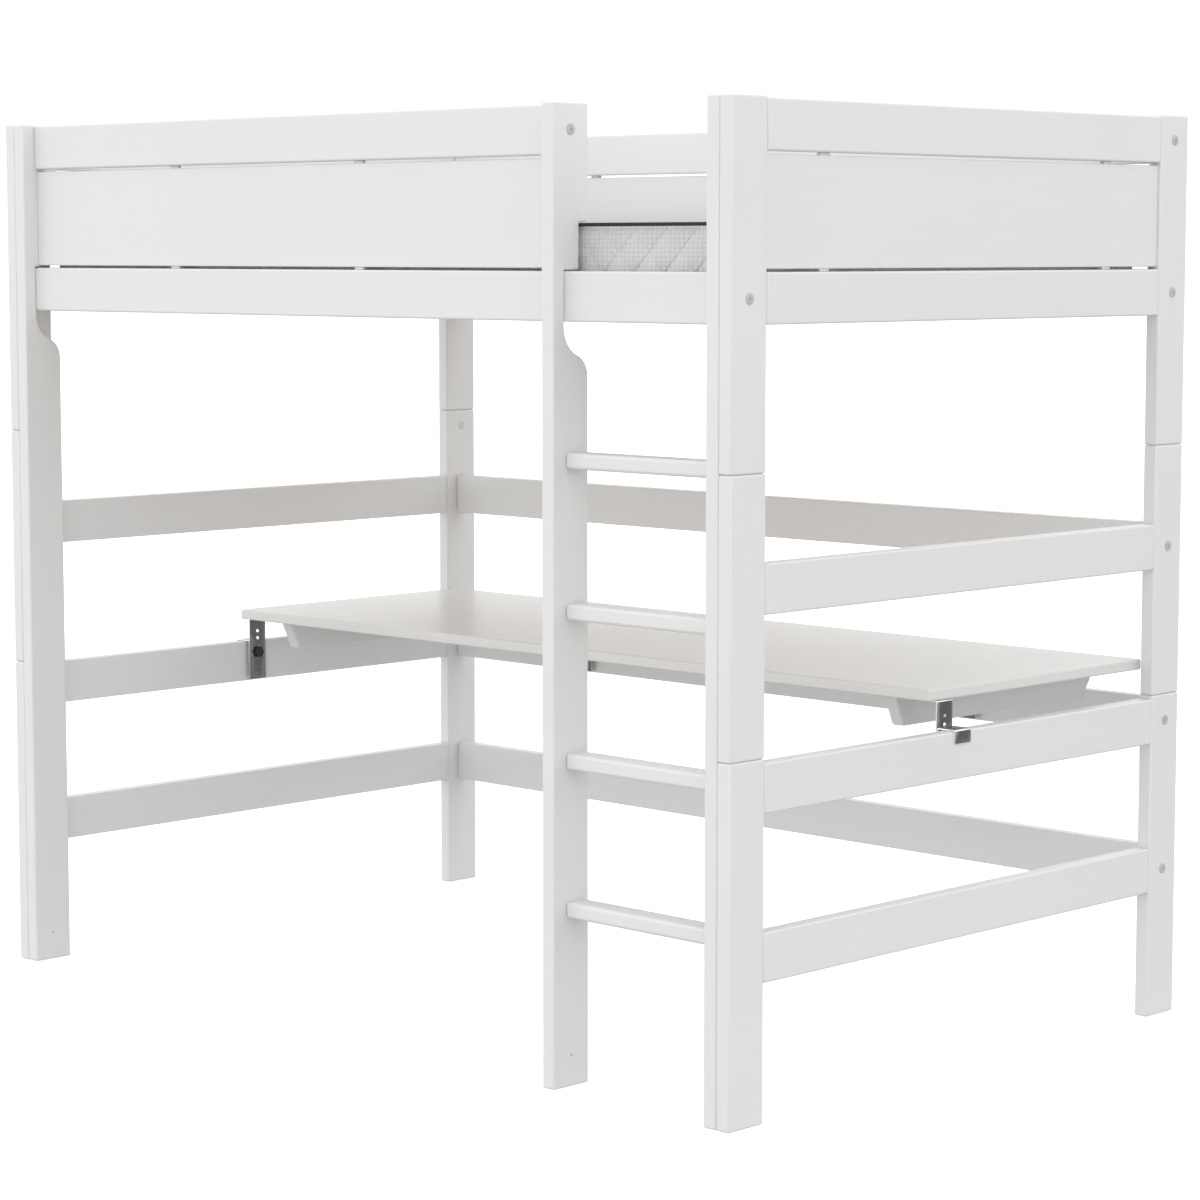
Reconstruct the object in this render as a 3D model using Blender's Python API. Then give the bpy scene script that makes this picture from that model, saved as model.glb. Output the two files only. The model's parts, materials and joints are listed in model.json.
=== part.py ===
"""Loft bed with a hanging desk, as separate named boards and fittings.

Metres, +Z up. The bed's length runs along X, its front faces -Y, and it stands on Z = 0.
"""

import math

import bmesh
import bpy
from mathutils import Matrix, Vector

# Driving sizes
LENGTH = 2.070
DEPTH = 1.330
HEIGHT = 1.785
BOARD_T = 0.030
BOARD_W = 0.090
EDGE_R = 0.003
GAP = 0.0003

# Heights of the post joints and of the boards' upper edges
POST_SEAMS = (0.647, 1.142)
GUARD_RAIL_TOP = 1.782
BED_RAIL_TOP = 1.486
GUARD_GAP = 0.0052
UPPER_RAIL_TOP = 0.987
MIDDLE_RAIL_TOP = 0.640
LOWER_RAIL_TOP = 0.341

# Guard panels and the flat spacers in their gaps
PANEL_T = 0.018
SPACER_W = 0.025
FRONT_SPACERS = (-0.518, 0.041)
REAR_SPACERS = (-0.549, 0.0, 0.549)
END_SPACERS = (-0.4135, 0.4135)

# Front uprights and ladder
LADDER_LEFT_X = 0.576
NOTCH_CEILING = 1.488
SHOULDER_Z = 1.5732
SHOULDER_DEPTH = 0.067
NECK_TOP = 1.387
NECK_MIDDLE = 1.3375
NECK_BOTTOM = 1.297
RUNG_H = 0.030
RUNG_DEPTH = 0.050
RUNG_R = 0.005
RUNG_LOWEST = 0.330
RUNG_PITCH = 0.2724
RUNG_COUNT = 4

# Mattress and its support
MATTRESS_T = 0.120
MATTRESS_BOTTOM = 1.452
MATTRESS_CORNER_R = 0.056
MATTRESS_CLEARANCE_X = 0.017
MATTRESS_CLEARANCE_Y = 0.009
SLAT_T = 0.0188
SLAT_W = 0.070
SLAT_COUNT = 14
SLAT_SPAN_X = 1.960
STRAP_T = 0.004
STRAP_W = 0.030
STRAP_Y = 0.400
LEDGER_T = 0.028
LEDGER_H = 0.028
LEDGER_HALF_LENGTH = 0.975

# Desk, whose sides and rear stay clear of the rails by the room that the brackets need
RAIL_TO_PLATE = 0.0105
DESK_FRONT_Y = -0.0745
DESK_TOP_Z = 0.716
DESK_T = 0.022
BATTEN_INNER_X = 0.859
BATTEN_H = 0.0615
BATTEN_FRONT_Y = -0.046
BATTEN_FRONT_SLANT = 0.028
BATTEN_REAR_Y = 0.589
BATTEN_REAR_SLANT = 0.041

# Desk brackets: local +X points out towards the rail, local Y runs along it
SHEET_T = 0.003
BRACKET_W = 0.046
PLATE_BOTTOM = 0.5545
FLANGE_LENGTH = 0.043
HOLE_R = 0.0043
HOLE_TOP_Z = 0.6637
HOLE_PITCH = 0.0161
HOLE_COUNT = 7
KNOB_HOLE = 3
HOOK_LEG_BOTTOM = 0.588
HOOK_LIP_BOTTOM = 0.6175
HOOK_TRAVEL = 0.0115
KNOB_R = 0.0125
KNOB_VALLEY_R = 0.0103
KNOB_LOBES = 6
KNOB_T = 0.009
STUD_R = 0.0038
STUD_LENGTH = 0.0105
END_BRACKET_Y = -0.0275
REAR_BRACKET_X = 0.560

HALF_X = LENGTH / 2
HALF_Y = DEPTH / 2
INNER_X = HALF_X - BOARD_T
RAIL_INSET = (BOARD_W - BOARD_T) / 2
RAIL_FRONT_Y = -HALF_Y + RAIL_INSET
RAIL_REAR_Y = HALF_Y - RAIL_INSET
GUARD_RAIL_BOTTOM = GUARD_RAIL_TOP - BOARD_W
DESK_BOTTOM_Z = DESK_TOP_Z - DESK_T
DESK_HALF_LENGTH = INNER_X - RAIL_TO_PLATE
DESK_REAR_Y = RAIL_REAR_Y - BOARD_T - RAIL_TO_PLATE


def clear_scene():
    """Remove every object, so that only the bed is left."""
    for obj in list(bpy.data.objects):
        bpy.data.objects.remove(obj, do_unlink=True)


def principled(name, color, roughness, metallic=0.0):
    """Return a new Principled material."""
    material = bpy.data.materials.new(name)
    material.use_nodes = True
    shader = material.node_tree.nodes["Principled BSDF"]
    shader.inputs["Base Color"].default_value = (*color, 1.0)
    shader.inputs["Roughness"].default_value = roughness
    shader.inputs["Metallic"].default_value = metallic
    material.diffuse_color = (*color, 1.0)
    return material


def make_materials():
    """Return the finishes by name."""
    return {
        "white_lacquer": principled("white_lacquer", (0.80, 0.80, 0.79), 0.45),
        "desk_lacquer": principled("desk_lacquer", (0.78, 0.77, 0.75), 0.40),
        "pine": principled("pine", (0.72, 0.58, 0.40), 0.60),
        "zinc_steel": principled("zinc_steel", (0.25, 0.25, 0.255), 0.20, 1.0),
        "black_plastic": principled("black_plastic", (0.02, 0.02, 0.02), 0.50),
        "mattress_cover": principled("mattress_cover", (0.75, 0.76, 0.78), 0.85),
    }


def add_object(name, bm, material):
    """Turn a bmesh into a linked object with one material."""
    bmesh.ops.recalc_face_normals(bm, faces=bm.faces)
    mesh = bpy.data.meshes.new(name)
    bm.to_mesh(mesh)
    bm.free()
    mesh.materials.append(material)
    obj = bpy.data.objects.new(name, mesh)
    bpy.context.collection.objects.link(obj)
    return obj


def box_bmesh(low, high):
    """Return a bmesh box between two corners."""
    bm = bmesh.new()
    size = Vector(high) - Vector(low)
    middle = (Vector(high) + Vector(low)) / 2
    matrix = Matrix.Translation(middle) @ Matrix.Diagonal((*size, 1.0))
    bmesh.ops.create_cube(bm, size=1.0, matrix=matrix)
    return bm


def ease_edges(bm, radius, segments=2, sharper_than=math.radians(35)):
    """Round every edge whose faces meet more sharply than the given angle."""
    edges = [edge for edge in bm.edges if edge.calc_face_angle(0.0) > sharper_than]
    bmesh.ops.bevel(
        bm, geom=edges, offset=radius, segments=segments, profile=0.5,
        affect="EDGES", clamp_overlap=True, material=-1,
    )


def board(name, low, high, material, radius=EDGE_R):
    """Add a board with eased edges."""
    bm = box_bmesh(low, high)
    ease_edges(bm, radius)
    return add_object(name, bm, material)


def extruded_outline(points, axis, start, end):
    """Return a bmesh of a closed outline, extruded along axis "X" or "Y".

    The points are (y, z) for axis X and (x, z) for axis Y.
    """
    bm = bmesh.new()
    if axis == "X":
        verts = [bm.verts.new((start, a, z)) for a, z in points]
        shift = Vector((end - start, 0.0, 0.0))
    else:
        verts = [bm.verts.new((a, start, z)) for a, z in points]
        shift = Vector((0.0, end - start, 0.0))
    face = bm.faces.new(verts)
    result = bmesh.ops.extrude_face_region(bm, geom=[face])
    moved = [item for item in result["geom"] if isinstance(item, bmesh.types.BMVert)]
    bmesh.ops.translate(bm, verts=moved, vec=shift)
    bmesh.ops.recalc_face_normals(bm, faces=bm.faces)
    return bm


def cylinder_bmesh(radius, start, end, segments=16):
    """Return a bmesh cylinder between two points on a line."""
    bm = bmesh.new()
    line = Vector(end) - Vector(start)
    turn = line.to_track_quat("Z", "Y").to_matrix().to_4x4()
    matrix = Matrix.Translation((Vector(start) + Vector(end)) / 2) @ turn
    bmesh.ops.create_cone(
        bm, cap_ends=True, segments=segments, radius1=radius, radius2=radius,
        depth=line.length, matrix=matrix,
    )
    return bm


def merged(bmeshes):
    """Return one bmesh that holds several separate shells."""
    whole = bmesh.new()
    for part in bmeshes:
        mesh = bpy.data.meshes.new("shell")
        part.to_mesh(mesh)
        part.free()
        whole.from_mesh(mesh)
        bpy.data.meshes.remove(mesh)
    return whole


def combine(obj, operand_bmesh, operation):
    """Apply an exact Boolean between an object and a tool bmesh."""
    tool = add_object("tool", operand_bmesh, obj.data.materials[0])
    modifier = obj.modifiers.new("cut", "BOOLEAN")
    modifier.operation = operation
    modifier.solver = "EXACT"
    modifier.object = tool
    graph = bpy.context.evaluated_depsgraph_get()
    mesh = bpy.data.meshes.new_from_object(obj.evaluated_get(graph))
    obj.modifiers.clear()
    obj.data = mesh
    bpy.data.objects.remove(tool, do_unlink=True)
    return obj


def arc(center, radius, first_deg, last_deg, steps):
    """Return points on an arc, both ends included."""
    points = []
    for index in range(steps + 1):
        angle = math.radians(first_deg + (last_deg - first_deg) * index / steps)
        points.append((center[0] + radius * math.cos(angle), center[1] + radius * math.sin(angle)))
    return points


def post(corner, x_side, y_side, material):
    """Add a corner post of three stacked boards."""
    outer_x, inner_x = x_side * HALF_X, x_side * INNER_X
    outer_y, inner_y = y_side * HALF_Y, y_side * (HALF_Y - BOARD_W)
    levels = (0.0, *POST_SEAMS, HEIGHT)
    for part, low, high in zip(("lower", "middle", "upper"), levels, levels[1:]):
        bottom = low if low == 0.0 else low + GAP
        board(
            f"post_{corner}_{part}",
            (min(outer_x, inner_x), min(outer_y, inner_y), bottom),
            (max(outer_x, inner_x), max(outer_y, inner_y), high),
            material,
        )


def rail_heights():
    """Return the (low, high) heights of each full-width rail by name."""
    tops = {
        "guard_rail": GUARD_RAIL_TOP,
        "bed_rail": BED_RAIL_TOP,
        "upper_rail": UPPER_RAIL_TOP,
        "middle_rail": MIDDLE_RAIL_TOP,
        "lower_rail": LOWER_RAIL_TOP,
    }
    return {name: (top - BOARD_W, top) for name, top in tops.items()}


def guard_panel(name, along, span, plane, spacers, material):
    """Add a wide guard panel with flat spacers on its two long edges.

    along is the axis that the panel runs along, span its two ends on that axis,
    plane the centre of its thickness on the other axis.
    """
    low_z = BED_RAIL_TOP + GUARD_GAP
    high_z = GUARD_RAIL_BOTTOM - GUARD_GAP
    half_t = PANEL_T / 2

    def corner(position, across, height):
        return (position, across, height) if along == "X" else (across, position, height)

    panel = board(
        name,
        corner(span[0], plane - half_t, low_z),
        corner(span[1], plane + half_t, high_z),
        material,
        radius=0.002,
    )
    tabs = []
    for middle in spacers:
        low = corner(middle - SPACER_W / 2, plane - half_t / 2, BED_RAIL_TOP + GAP)
        high = corner(middle + SPACER_W / 2, plane + half_t / 2, GUARD_RAIL_BOTTOM - GAP)
        tabs.append(box_bmesh(low, high))
    return combine(panel, merged(tabs), "UNION")


def end_frame(side_name, side, material):
    """Add the boards of one short end, flush with its posts."""
    low_x, high_x = sorted((side * INNER_X, side * HALF_X))
    reach = HALF_Y - BOARD_W - GAP
    for rail, (low, high) in rail_heights().items():
        board(f"{side_name}_{rail}", (low_x, -reach, low), (high_x, reach, high), material)
    plane = side * (INNER_X + BOARD_T / 2)
    guard_panel(f"{side_name}_guard_panel", "Y", (-reach, reach), plane, END_SPACERS, material)


def rear_frame(material):
    """Add the boards of the long rear side, between the rear posts."""
    reach = INNER_X - GAP
    low_y, high_y = RAIL_REAR_Y - BOARD_T, RAIL_REAR_Y
    for rail, (low, high) in rail_heights().items():
        board(f"rear_{rail}", (-reach, low_y, low), (reach, high_y, high), material)
    plane = (low_y + high_y) / 2
    guard_panel("rear_guard_panel", "X", (-reach, reach), plane, REAR_SPACERS, material)


def front_guard(material):
    """Add the front bed rail and the guard beside the ladder."""
    heights = rail_heights()
    low_y, high_y = RAIL_FRONT_Y, RAIL_FRONT_Y + BOARD_T
    reach = INNER_X - GAP
    low, high = heights["bed_rail"]
    board("front_bed_rail", (-reach, low_y, low), (reach, high_y, high), material)
    start = -INNER_X + BOARD_T + 2 * GAP
    end = LADDER_LEFT_X - GAP
    low, high = heights["guard_rail"]
    board("front_guard_rail", (start, low_y, low), (end, high_y, high), material)
    plane = (low_y + high_y) / 2
    guard_panel("front_guard_panel", "X", (start, end), plane, FRONT_SPACERS, material)


def upright_outline():
    """Return the side outline of a front upright as (y, z) points.

    It is cut away behind its front strip to hook over the bed rail and the
    mattress, and swells back to full depth below in an S-shaped neck.
    """
    front = -HALF_Y
    back = front + BOARD_W
    strip = RAIL_FRONT_Y - GAP
    neck_y = (strip + back) / 2
    half_width = neck_y - strip
    upper_drop = NECK_TOP - NECK_MIDDLE
    lower_drop = NECK_MIDDLE - NECK_BOTTOM
    upper_r = (half_width ** 2 + upper_drop ** 2) / (2 * half_width)
    lower_r = (half_width ** 2 + lower_drop ** 2) / (2 * half_width)
    upper_turn = math.degrees(math.asin(upper_drop / upper_r))
    lower_turn = math.degrees(math.asin(lower_drop / lower_r))
    lower_arc = arc((back - lower_r, NECK_BOTTOM), lower_r, 0.0, lower_turn, 6)
    upper_arc = arc((strip + upper_r, NECK_TOP), upper_r, 180.0 + upper_turn, 180.0, 6)
    return [
        (front, 0.0),
        (back, 0.0),
        *lower_arc[:-1],
        *upper_arc,
        (strip, NOTCH_CEILING),
        (front + SHOULDER_DEPTH, NOTCH_CEILING),
        (front + SHOULDER_DEPTH, SHOULDER_Z),
        (back, SHOULDER_Z),
        (back, HEIGHT),
        (front, HEIGHT),
    ]


def upright(name, left_x, material):
    """Add a one-piece front upright."""
    bm = extruded_outline(upright_outline(), "X", left_x, left_x + BOARD_T)
    ease_edges(bm, EDGE_R)
    return add_object(name, bm, material)


def ladder(material):
    """Add the front uprights and the rungs between the two on the right."""
    right_x = INNER_X - BOARD_T - GAP
    upright("upright_left_end", -INNER_X + GAP, material)
    upright("upright_ladder_left", LADDER_LEFT_X, material)
    upright("upright_ladder_right", right_x, material)
    for index in range(RUNG_COUNT):
        middle = RUNG_LOWEST + RUNG_PITCH * index
        board(
            f"ladder_rung_{index + 1}",
            (LADDER_LEFT_X + BOARD_T + GAP, RAIL_FRONT_Y, middle - RUNG_H / 2),
            (right_x - GAP, RAIL_FRONT_Y + RUNG_DEPTH, middle + RUNG_H / 2),
            material,
            radius=RUNG_R,
        )


def bed_support(material):
    """Add the two ledgers and the slats that lie on them."""
    slat_top = MATTRESS_BOTTOM - 2 * GAP
    slat_bottom = slat_top - SLAT_T
    ledger_top = slat_bottom - GAP
    inner_front = RAIL_FRONT_Y + BOARD_T + GAP
    inner_rear = RAIL_REAR_Y - BOARD_T - GAP
    for name, near, far in (
        ("ledger_front", inner_front, inner_front + LEDGER_T),
        ("ledger_rear", inner_rear - LEDGER_T, inner_rear),
    ):
        low = (-LEDGER_HALF_LENGTH, near, ledger_top - LEDGER_H)
        board(name, low, (LEDGER_HALF_LENGTH, far, ledger_top), material)

    slats = []
    pitch = (SLAT_SPAN_X - SLAT_W) / (SLAT_COUNT - 1)
    for index in range(SLAT_COUNT):
        left = -SLAT_SPAN_X / 2 + pitch * index
        low = (left, inner_front + GAP, slat_bottom)
        slats.append(box_bmesh(low, (left + SLAT_W, inner_rear - GAP, slat_top)))
    slat_object = add_object("slatted_base", merged(slats), material)
    straps = []
    for side in (-1, 1):
        low = (-SLAT_SPAN_X / 2 + STRAP_W / 3, side * STRAP_Y - STRAP_W / 2, slat_bottom - STRAP_T / 2)
        high = (SLAT_SPAN_X / 2 - STRAP_W / 3, side * STRAP_Y + STRAP_W / 2, slat_bottom + STRAP_T / 2)
        straps.append(box_bmesh(low, high))
    return combine(slat_object, merged(straps), "UNION")


def mattress(material):
    """Add the mattress as a plain pad with rounded corners."""
    reach = INNER_X - MATTRESS_CLEARANCE_X
    low_y = -HALF_Y + SHOULDER_DEPTH + 5 * GAP
    high_y = RAIL_REAR_Y - BOARD_T - MATTRESS_CLEARANCE_Y
    bm = box_bmesh((-reach, low_y, MATTRESS_BOTTOM), (reach, high_y, MATTRESS_BOTTOM + MATTRESS_T))
    corners = [edge for edge in bm.edges if abs(edge.verts[0].co.z - edge.verts[1].co.z) > MATTRESS_T / 2]
    bmesh.ops.bevel(
        bm, geom=corners, offset=MATTRESS_CORNER_R, segments=5, profile=0.5, affect="EDGES", material=-1,
    )
    return add_object("mattress", bm, material)


def desk(material):
    """Add the desk top and the two slanted battens under it."""
    board(
        "desk_top",
        (-DESK_HALF_LENGTH, DESK_FRONT_Y, DESK_BOTTOM_Z),
        (DESK_HALF_LENGTH, DESK_REAR_Y, DESK_TOP_Z),
        material,
    )
    top = DESK_BOTTOM_Z - GAP
    outline = [
        (BATTEN_FRONT_Y + BATTEN_FRONT_SLANT, top - BATTEN_H),
        (BATTEN_REAR_Y - BATTEN_REAR_SLANT, top - BATTEN_H),
        (BATTEN_REAR_Y, top),
        (BATTEN_FRONT_Y, top),
    ]
    for name, side in (("desk_batten_left", -1), ("desk_batten_right", 1)):
        start, end = sorted((side * BATTEN_INNER_X, side * (BATTEN_INNER_X + BOARD_T)))
        bm = extruded_outline(outline, "X", start, end)
        ease_edges(bm, EDGE_R, sharper_than=math.radians(25))
        add_object(name, bm, material)


def hole_height(index):
    """Return the height of a plate's hole, counted from the top."""
    return HOLE_TOP_Z - HOLE_PITCH * index


def bracket_plate(name, place, material):
    """Add the perforated angle that hangs under the desk top."""
    top = DESK_BOTTOM_Z - GAP
    outer = -RAIL_TO_PLATE
    outline = [
        (outer, PLATE_BOTTOM),
        (outer, top),
        (outer - FLANGE_LENGTH, top),
        (outer - FLANGE_LENGTH, top - SHEET_T),
        (outer - SHEET_T, top - SHEET_T),
        (outer - SHEET_T, PLATE_BOTTOM),
    ]
    bm = extruded_outline(outline, "Y", -BRACKET_W / 2, BRACKET_W / 2)
    ease_edges(bm, SHEET_T / 5, segments=1)
    plate = add_object(name, bm, material)
    drills = []
    for index in range(HOLE_COUNT):
        height = hole_height(index)
        start = (outer - 2 * SHEET_T, 0.0, height)
        end = (outer + SHEET_T, 0.0, height)
        drills.append(cylinder_bmesh(HOLE_R, start, end))
    combine(plate, merged(drills), "DIFFERENCE")
    plate.data.transform(place)
    return plate


def slot_bmesh(start, end):
    """Return the cutter of the upright slot that the stud slides in."""
    middle = hole_height(KNOB_HOLE)
    top = arc((0.0, middle + HOOK_TRAVEL), HOLE_R, 0.0, 180.0, 8)
    bottom = arc((0.0, middle - HOOK_TRAVEL), HOLE_R, 180.0, 360.0, 8)
    return extruded_outline(top + bottom, "X", start, end)


def bracket_hook(name, place, material):
    """Add the bent strip that hooks over the rail behind the plate."""
    inner = -RAIL_TO_PLATE + GAP
    outer = BOARD_T + GAP
    low = MIDDLE_RAIL_TOP + GAP
    high = low + SHEET_T
    outline = [
        (inner, HOOK_LEG_BOTTOM),
        (inner + SHEET_T, HOOK_LEG_BOTTOM),
        (inner + SHEET_T, low),
        (outer, low),
        (outer, HOOK_LIP_BOTTOM),
        (outer + SHEET_T, HOOK_LIP_BOTTOM),
        (outer + SHEET_T, high),
        (inner, high),
    ]
    bm = extruded_outline(outline, "Y", -BRACKET_W / 2, BRACKET_W / 2)
    ease_edges(bm, SHEET_T / 5, segments=1)
    hook = add_object(name, bm, material)
    combine(hook, slot_bmesh(inner - SHEET_T, inner + 2 * SHEET_T), "DIFFERENCE")
    hook.data.transform(place)
    return hook


def star_knob(name, place, material):
    """Add a lobed knob with its threaded stud, about its own axis."""
    steps = 6 * KNOB_LOBES
    mean = (KNOB_R + KNOB_VALLEY_R) / 2
    swing = (KNOB_R - KNOB_VALLEY_R) / 2
    face_x = -RAIL_TO_PLATE - SHEET_T - 2 * GAP
    outline = []
    for index in range(steps):
        angle = 2 * math.pi * index / steps
        radius = mean + swing * math.cos(KNOB_LOBES * angle)
        outline.append((radius * math.cos(angle), radius * math.sin(angle)))
    bm = extruded_outline(outline, "X", face_x - KNOB_T, face_x)
    ease_edges(bm, 0.0015, sharper_than=math.radians(60))
    knob = add_object(name, bm, material)
    stud = cylinder_bmesh(STUD_R, (face_x - KNOB_T / 2, 0.0, 0.0), (face_x + STUD_LENGTH, 0.0, 0.0), 12)
    combine(knob, stud, "UNION")
    knob.matrix_world = place @ Matrix.Translation((0.0, 0.0, hole_height(KNOB_HOLE)))
    return knob


def desk_brackets(steel, plastic):
    """Add the four hanging brackets: one on each end rail, two on the rear rail."""
    rear_face = RAIL_REAR_Y - BOARD_T
    quarter = math.radians(90)
    places = {
        "right": ((INNER_X, END_BRACKET_Y, 0.0), 0.0),
        "left": ((-INNER_X, END_BRACKET_Y, 0.0), 2 * quarter),
        "rear_right": ((REAR_BRACKET_X, rear_face, 0.0), quarter),
        "rear_left": ((-REAR_BRACKET_X, rear_face, 0.0), quarter),
    }
    for place_name, (origin, turn) in places.items():
        place = Matrix.Translation(origin) @ Matrix.Rotation(turn, 4, "Z")
        bracket_plate(f"bracket_plate_{place_name}", place, steel)
        bracket_hook(f"bracket_hook_{place_name}", place, steel)
        star_knob(f"star_knob_{place_name}", place, plastic)


def main():
    """Build the bed."""
    clear_scene()
    finish = make_materials()
    white = finish["white_lacquer"]
    post("front_left", -1, -1, white)
    post("front_right", 1, -1, white)
    post("rear_left", -1, 1, white)
    post("rear_right", 1, 1, white)
    end_frame("left", -1, white)
    end_frame("right", 1, white)
    rear_frame(white)
    front_guard(white)
    ladder(white)
    bed_support(finish["pine"])
    mattress(finish["mattress_cover"])
    desk(finish["desk_lacquer"])
    desk_brackets(finish["zinc_steel"], finish["black_plastic"])


if __name__ == "__main__":
    main()
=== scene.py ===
"""Loft bed with a hanging desk: the visible surface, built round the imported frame.

Metres, +Z up. The bed's length runs along X, its open front faces -Y, and it stands on Z = 0.
"""

import json
import logging
import math
from dataclasses import dataclass, field
from enum import Enum

import bmesh
import bpy
from bmesh.types import BMEdge, BMesh, BMFace, BMVert
from bpy.types import Material, Node, NodeSocket, Object
from mathutils import Matrix, Vector


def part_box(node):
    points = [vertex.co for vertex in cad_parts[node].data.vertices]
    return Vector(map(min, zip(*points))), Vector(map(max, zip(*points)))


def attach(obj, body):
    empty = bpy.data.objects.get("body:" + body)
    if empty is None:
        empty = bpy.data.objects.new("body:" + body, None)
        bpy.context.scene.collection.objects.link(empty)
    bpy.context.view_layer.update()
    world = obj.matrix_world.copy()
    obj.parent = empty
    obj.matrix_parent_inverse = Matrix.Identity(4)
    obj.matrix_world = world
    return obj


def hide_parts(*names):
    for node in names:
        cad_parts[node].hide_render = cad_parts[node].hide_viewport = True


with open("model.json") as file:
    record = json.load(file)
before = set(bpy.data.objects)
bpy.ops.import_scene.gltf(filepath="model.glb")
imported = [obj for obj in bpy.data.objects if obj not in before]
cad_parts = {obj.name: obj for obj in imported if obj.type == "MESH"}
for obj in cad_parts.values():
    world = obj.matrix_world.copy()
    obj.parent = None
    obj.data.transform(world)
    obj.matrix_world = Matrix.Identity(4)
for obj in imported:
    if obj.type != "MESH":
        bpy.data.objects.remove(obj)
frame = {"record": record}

LOG = logging.getLogger("loft_bed")
SKIN = 0.0002  # the gap kept between two faces that touch
CREASE = math.radians(32)  # faces that meet more sharply than this keep a hard edge
SHARP = 60.0  # degrees; an edge is rounded when its faces meet more sharply than this
ARC_STEPS = 4  # faces in a board's rounded edge
NOISE_SPAN = (0.3, 0.7)  # what fractal noise mostly fills
NEAR = 0.00001  # how close two points are to be the same corner

Span = tuple[float, float]
Triple = tuple[float, float, float]


class Grain(Enum):
    """The direction that a board's grain runs in."""

    LENGTH = 0
    DEPTH = 1
    HEIGHT = 2


class Shading(Enum):
    """How a piece's faces are shaded."""

    EASED = "big faces flat, narrow rounded ones smooth"
    BY_ANGLE = "smooth up to the sharp edges"
    SMOOTH = "smooth all over"


# ---------------------------------------------------------------- materials


class Weave:
    """A material's node tree, with short calls that add and join nodes."""

    def __init__(self, name: str) -> None:
        """Start a material with an output and a Principled shader.

        Args:
            name: The material's name.
        """
        self.material: Material = bpy.data.materials.new(name)
        self.material.use_nodes = True
        self.tree = self.material.node_tree
        self.shader: Node = self.tree.nodes["Principled BSDF"]
        self.coordinates: NodeSocket = self.add("ShaderNodeTexCoord").outputs["Object"]

    def add(self, kind: str, **settings: object) -> Node:
        """Add a node.

        Args:
            kind: The node's Blender type.
            **settings: Attributes to set on it.

        Returns:
            The new node.
        """
        node = self.tree.nodes.new(kind)
        for name, value in settings.items():
            setattr(node, name, value)
        return node

    def plug(self, socket: NodeSocket, value: object) -> None:
        """Link an output to an input, or set the input's own value.

        Args:
            socket: The input.
            value: An output socket, or a number or colour.
        """
        if isinstance(value, NodeSocket):
            self.tree.links.new(value, socket)
        else:
            socket.default_value = value

    def feed(self, node: Node, **inputs: object) -> Node:
        """Set or link inputs by name.

        Args:
            node: The node to feed.
            **inputs: Socket names with _ for spaces, and what each is given.

        Returns:
            The same node.
        """
        for name, value in inputs.items():
            self.plug(node.inputs[name.replace("_", " ")], value)
        return node

    def fed(self, kind: str, **inputs: object) -> Node:
        """Return a new node with its inputs fed."""
        return self.feed(self.add(kind), **inputs)

    def stretched(self, scale: Triple) -> NodeSocket:
        """Return the object coordinates, scaled on each axis."""
        return self.fed("ShaderNodeMapping", Vector=self.coordinates, Scale=scale).outputs["Vector"]

    def drawn_out(self, grain: Grain, across: float, along: float) -> NodeSocket:
        """Return the object coordinates, scaled to draw a pattern out along a grain.

        Args:
            grain: The direction of the grain.
            across: The scale across it.
            along: The scale along it.

        Returns:
            The coordinates' socket.
        """
        scale = [across] * 3
        scale[grain.value] = along
        return self.stretched(tuple(scale))

    def noise(self, vector: NodeSocket, scale: float, detail: float = 2.0, warp: float = 0.0) -> NodeSocket:
        """Return fractal noise from 0 to 1."""
        node = self.fed("ShaderNodeTexNoise", Vector=vector, Scale=scale, Detail=detail, Distortion=warp)
        return node.outputs["Fac"]

    def math(self, operation: str, first: object, second: object = 0.0) -> NodeSocket:
        """Return the result of a two-input sum.

        Args:
            operation: Blender's name of the operation.
            first: A number or a socket.
            second: A number or a socket.

        Returns:
            The result's socket.
        """
        node = self.add("ShaderNodeMath", operation=operation)
        self.plug(node.inputs[0], first)
        self.plug(node.inputs[1], second)
        return node.outputs[0]

    def ranged(self, value: NodeSocket, source: Span, target: Span = (0.0, 1.0)) -> NodeSocket:
        """Return a value mapped from one span to another, and held inside it."""
        node = self.fed("ShaderNodeMapRange", Value=value, From_Min=source[0], From_Max=source[1])
        return self.feed(node, To_Min=target[0], To_Max=target[1]).outputs["Result"]

    def blend(self, amount: NodeSocket, low: Triple, high: Triple) -> NodeSocket:
        """Return a colour that runs between two others.

        Args:
            amount: How far it runs, from 0 to 1.
            low: The colour at 0.
            high: The colour at 1.

        Returns:
            The colour's socket.
        """
        node = self.fed("ShaderNodeValToRGB", Fac=amount)
        for element, colour in zip(node.color_ramp.elements, (low, high)):
            element.color = (*colour, 1.0)
        return node.outputs["Color"]

    def mottled(self, pattern: NodeSocket, span: Span, colour: Triple, dark: float) -> NodeSocket:
        """Return a colour that is a little darker where a pattern is low.

        Args:
            pattern: The pattern.
            span: Its values at the darker and at the full colour.
            colour: The full colour.
            dark: The darker colour's share of it.

        Returns:
            The colour's socket.
        """
        shade = tuple(channel * dark for channel in colour)
        return self.blend(self.ranged(pattern, span), shade, colour)

    def bump(
        self, height: NodeSocket, depth: float, strength: float, under: NodeSocket | None = None,
    ) -> NodeSocket:
        """Return a normal roughened by a height.

        Args:
            height: The height, from 0 to 1.
            depth: What a height of 1 stands for, in metres.
            strength: How much of it shows.
            under: A normal that this one is laid over.

        Returns:
            The normal's socket.
        """
        node = self.fed("ShaderNodeBump", Height=height, Distance=depth, Strength=strength)
        if under is not None:
            self.feed(node, Normal=under)
        return node.outputs["Normal"]

    def finish(self, **inputs: object) -> Material:
        """Feed the shader and return the finished material."""
        self.feed(self.shader, **inputs)
        return self.material


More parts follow.
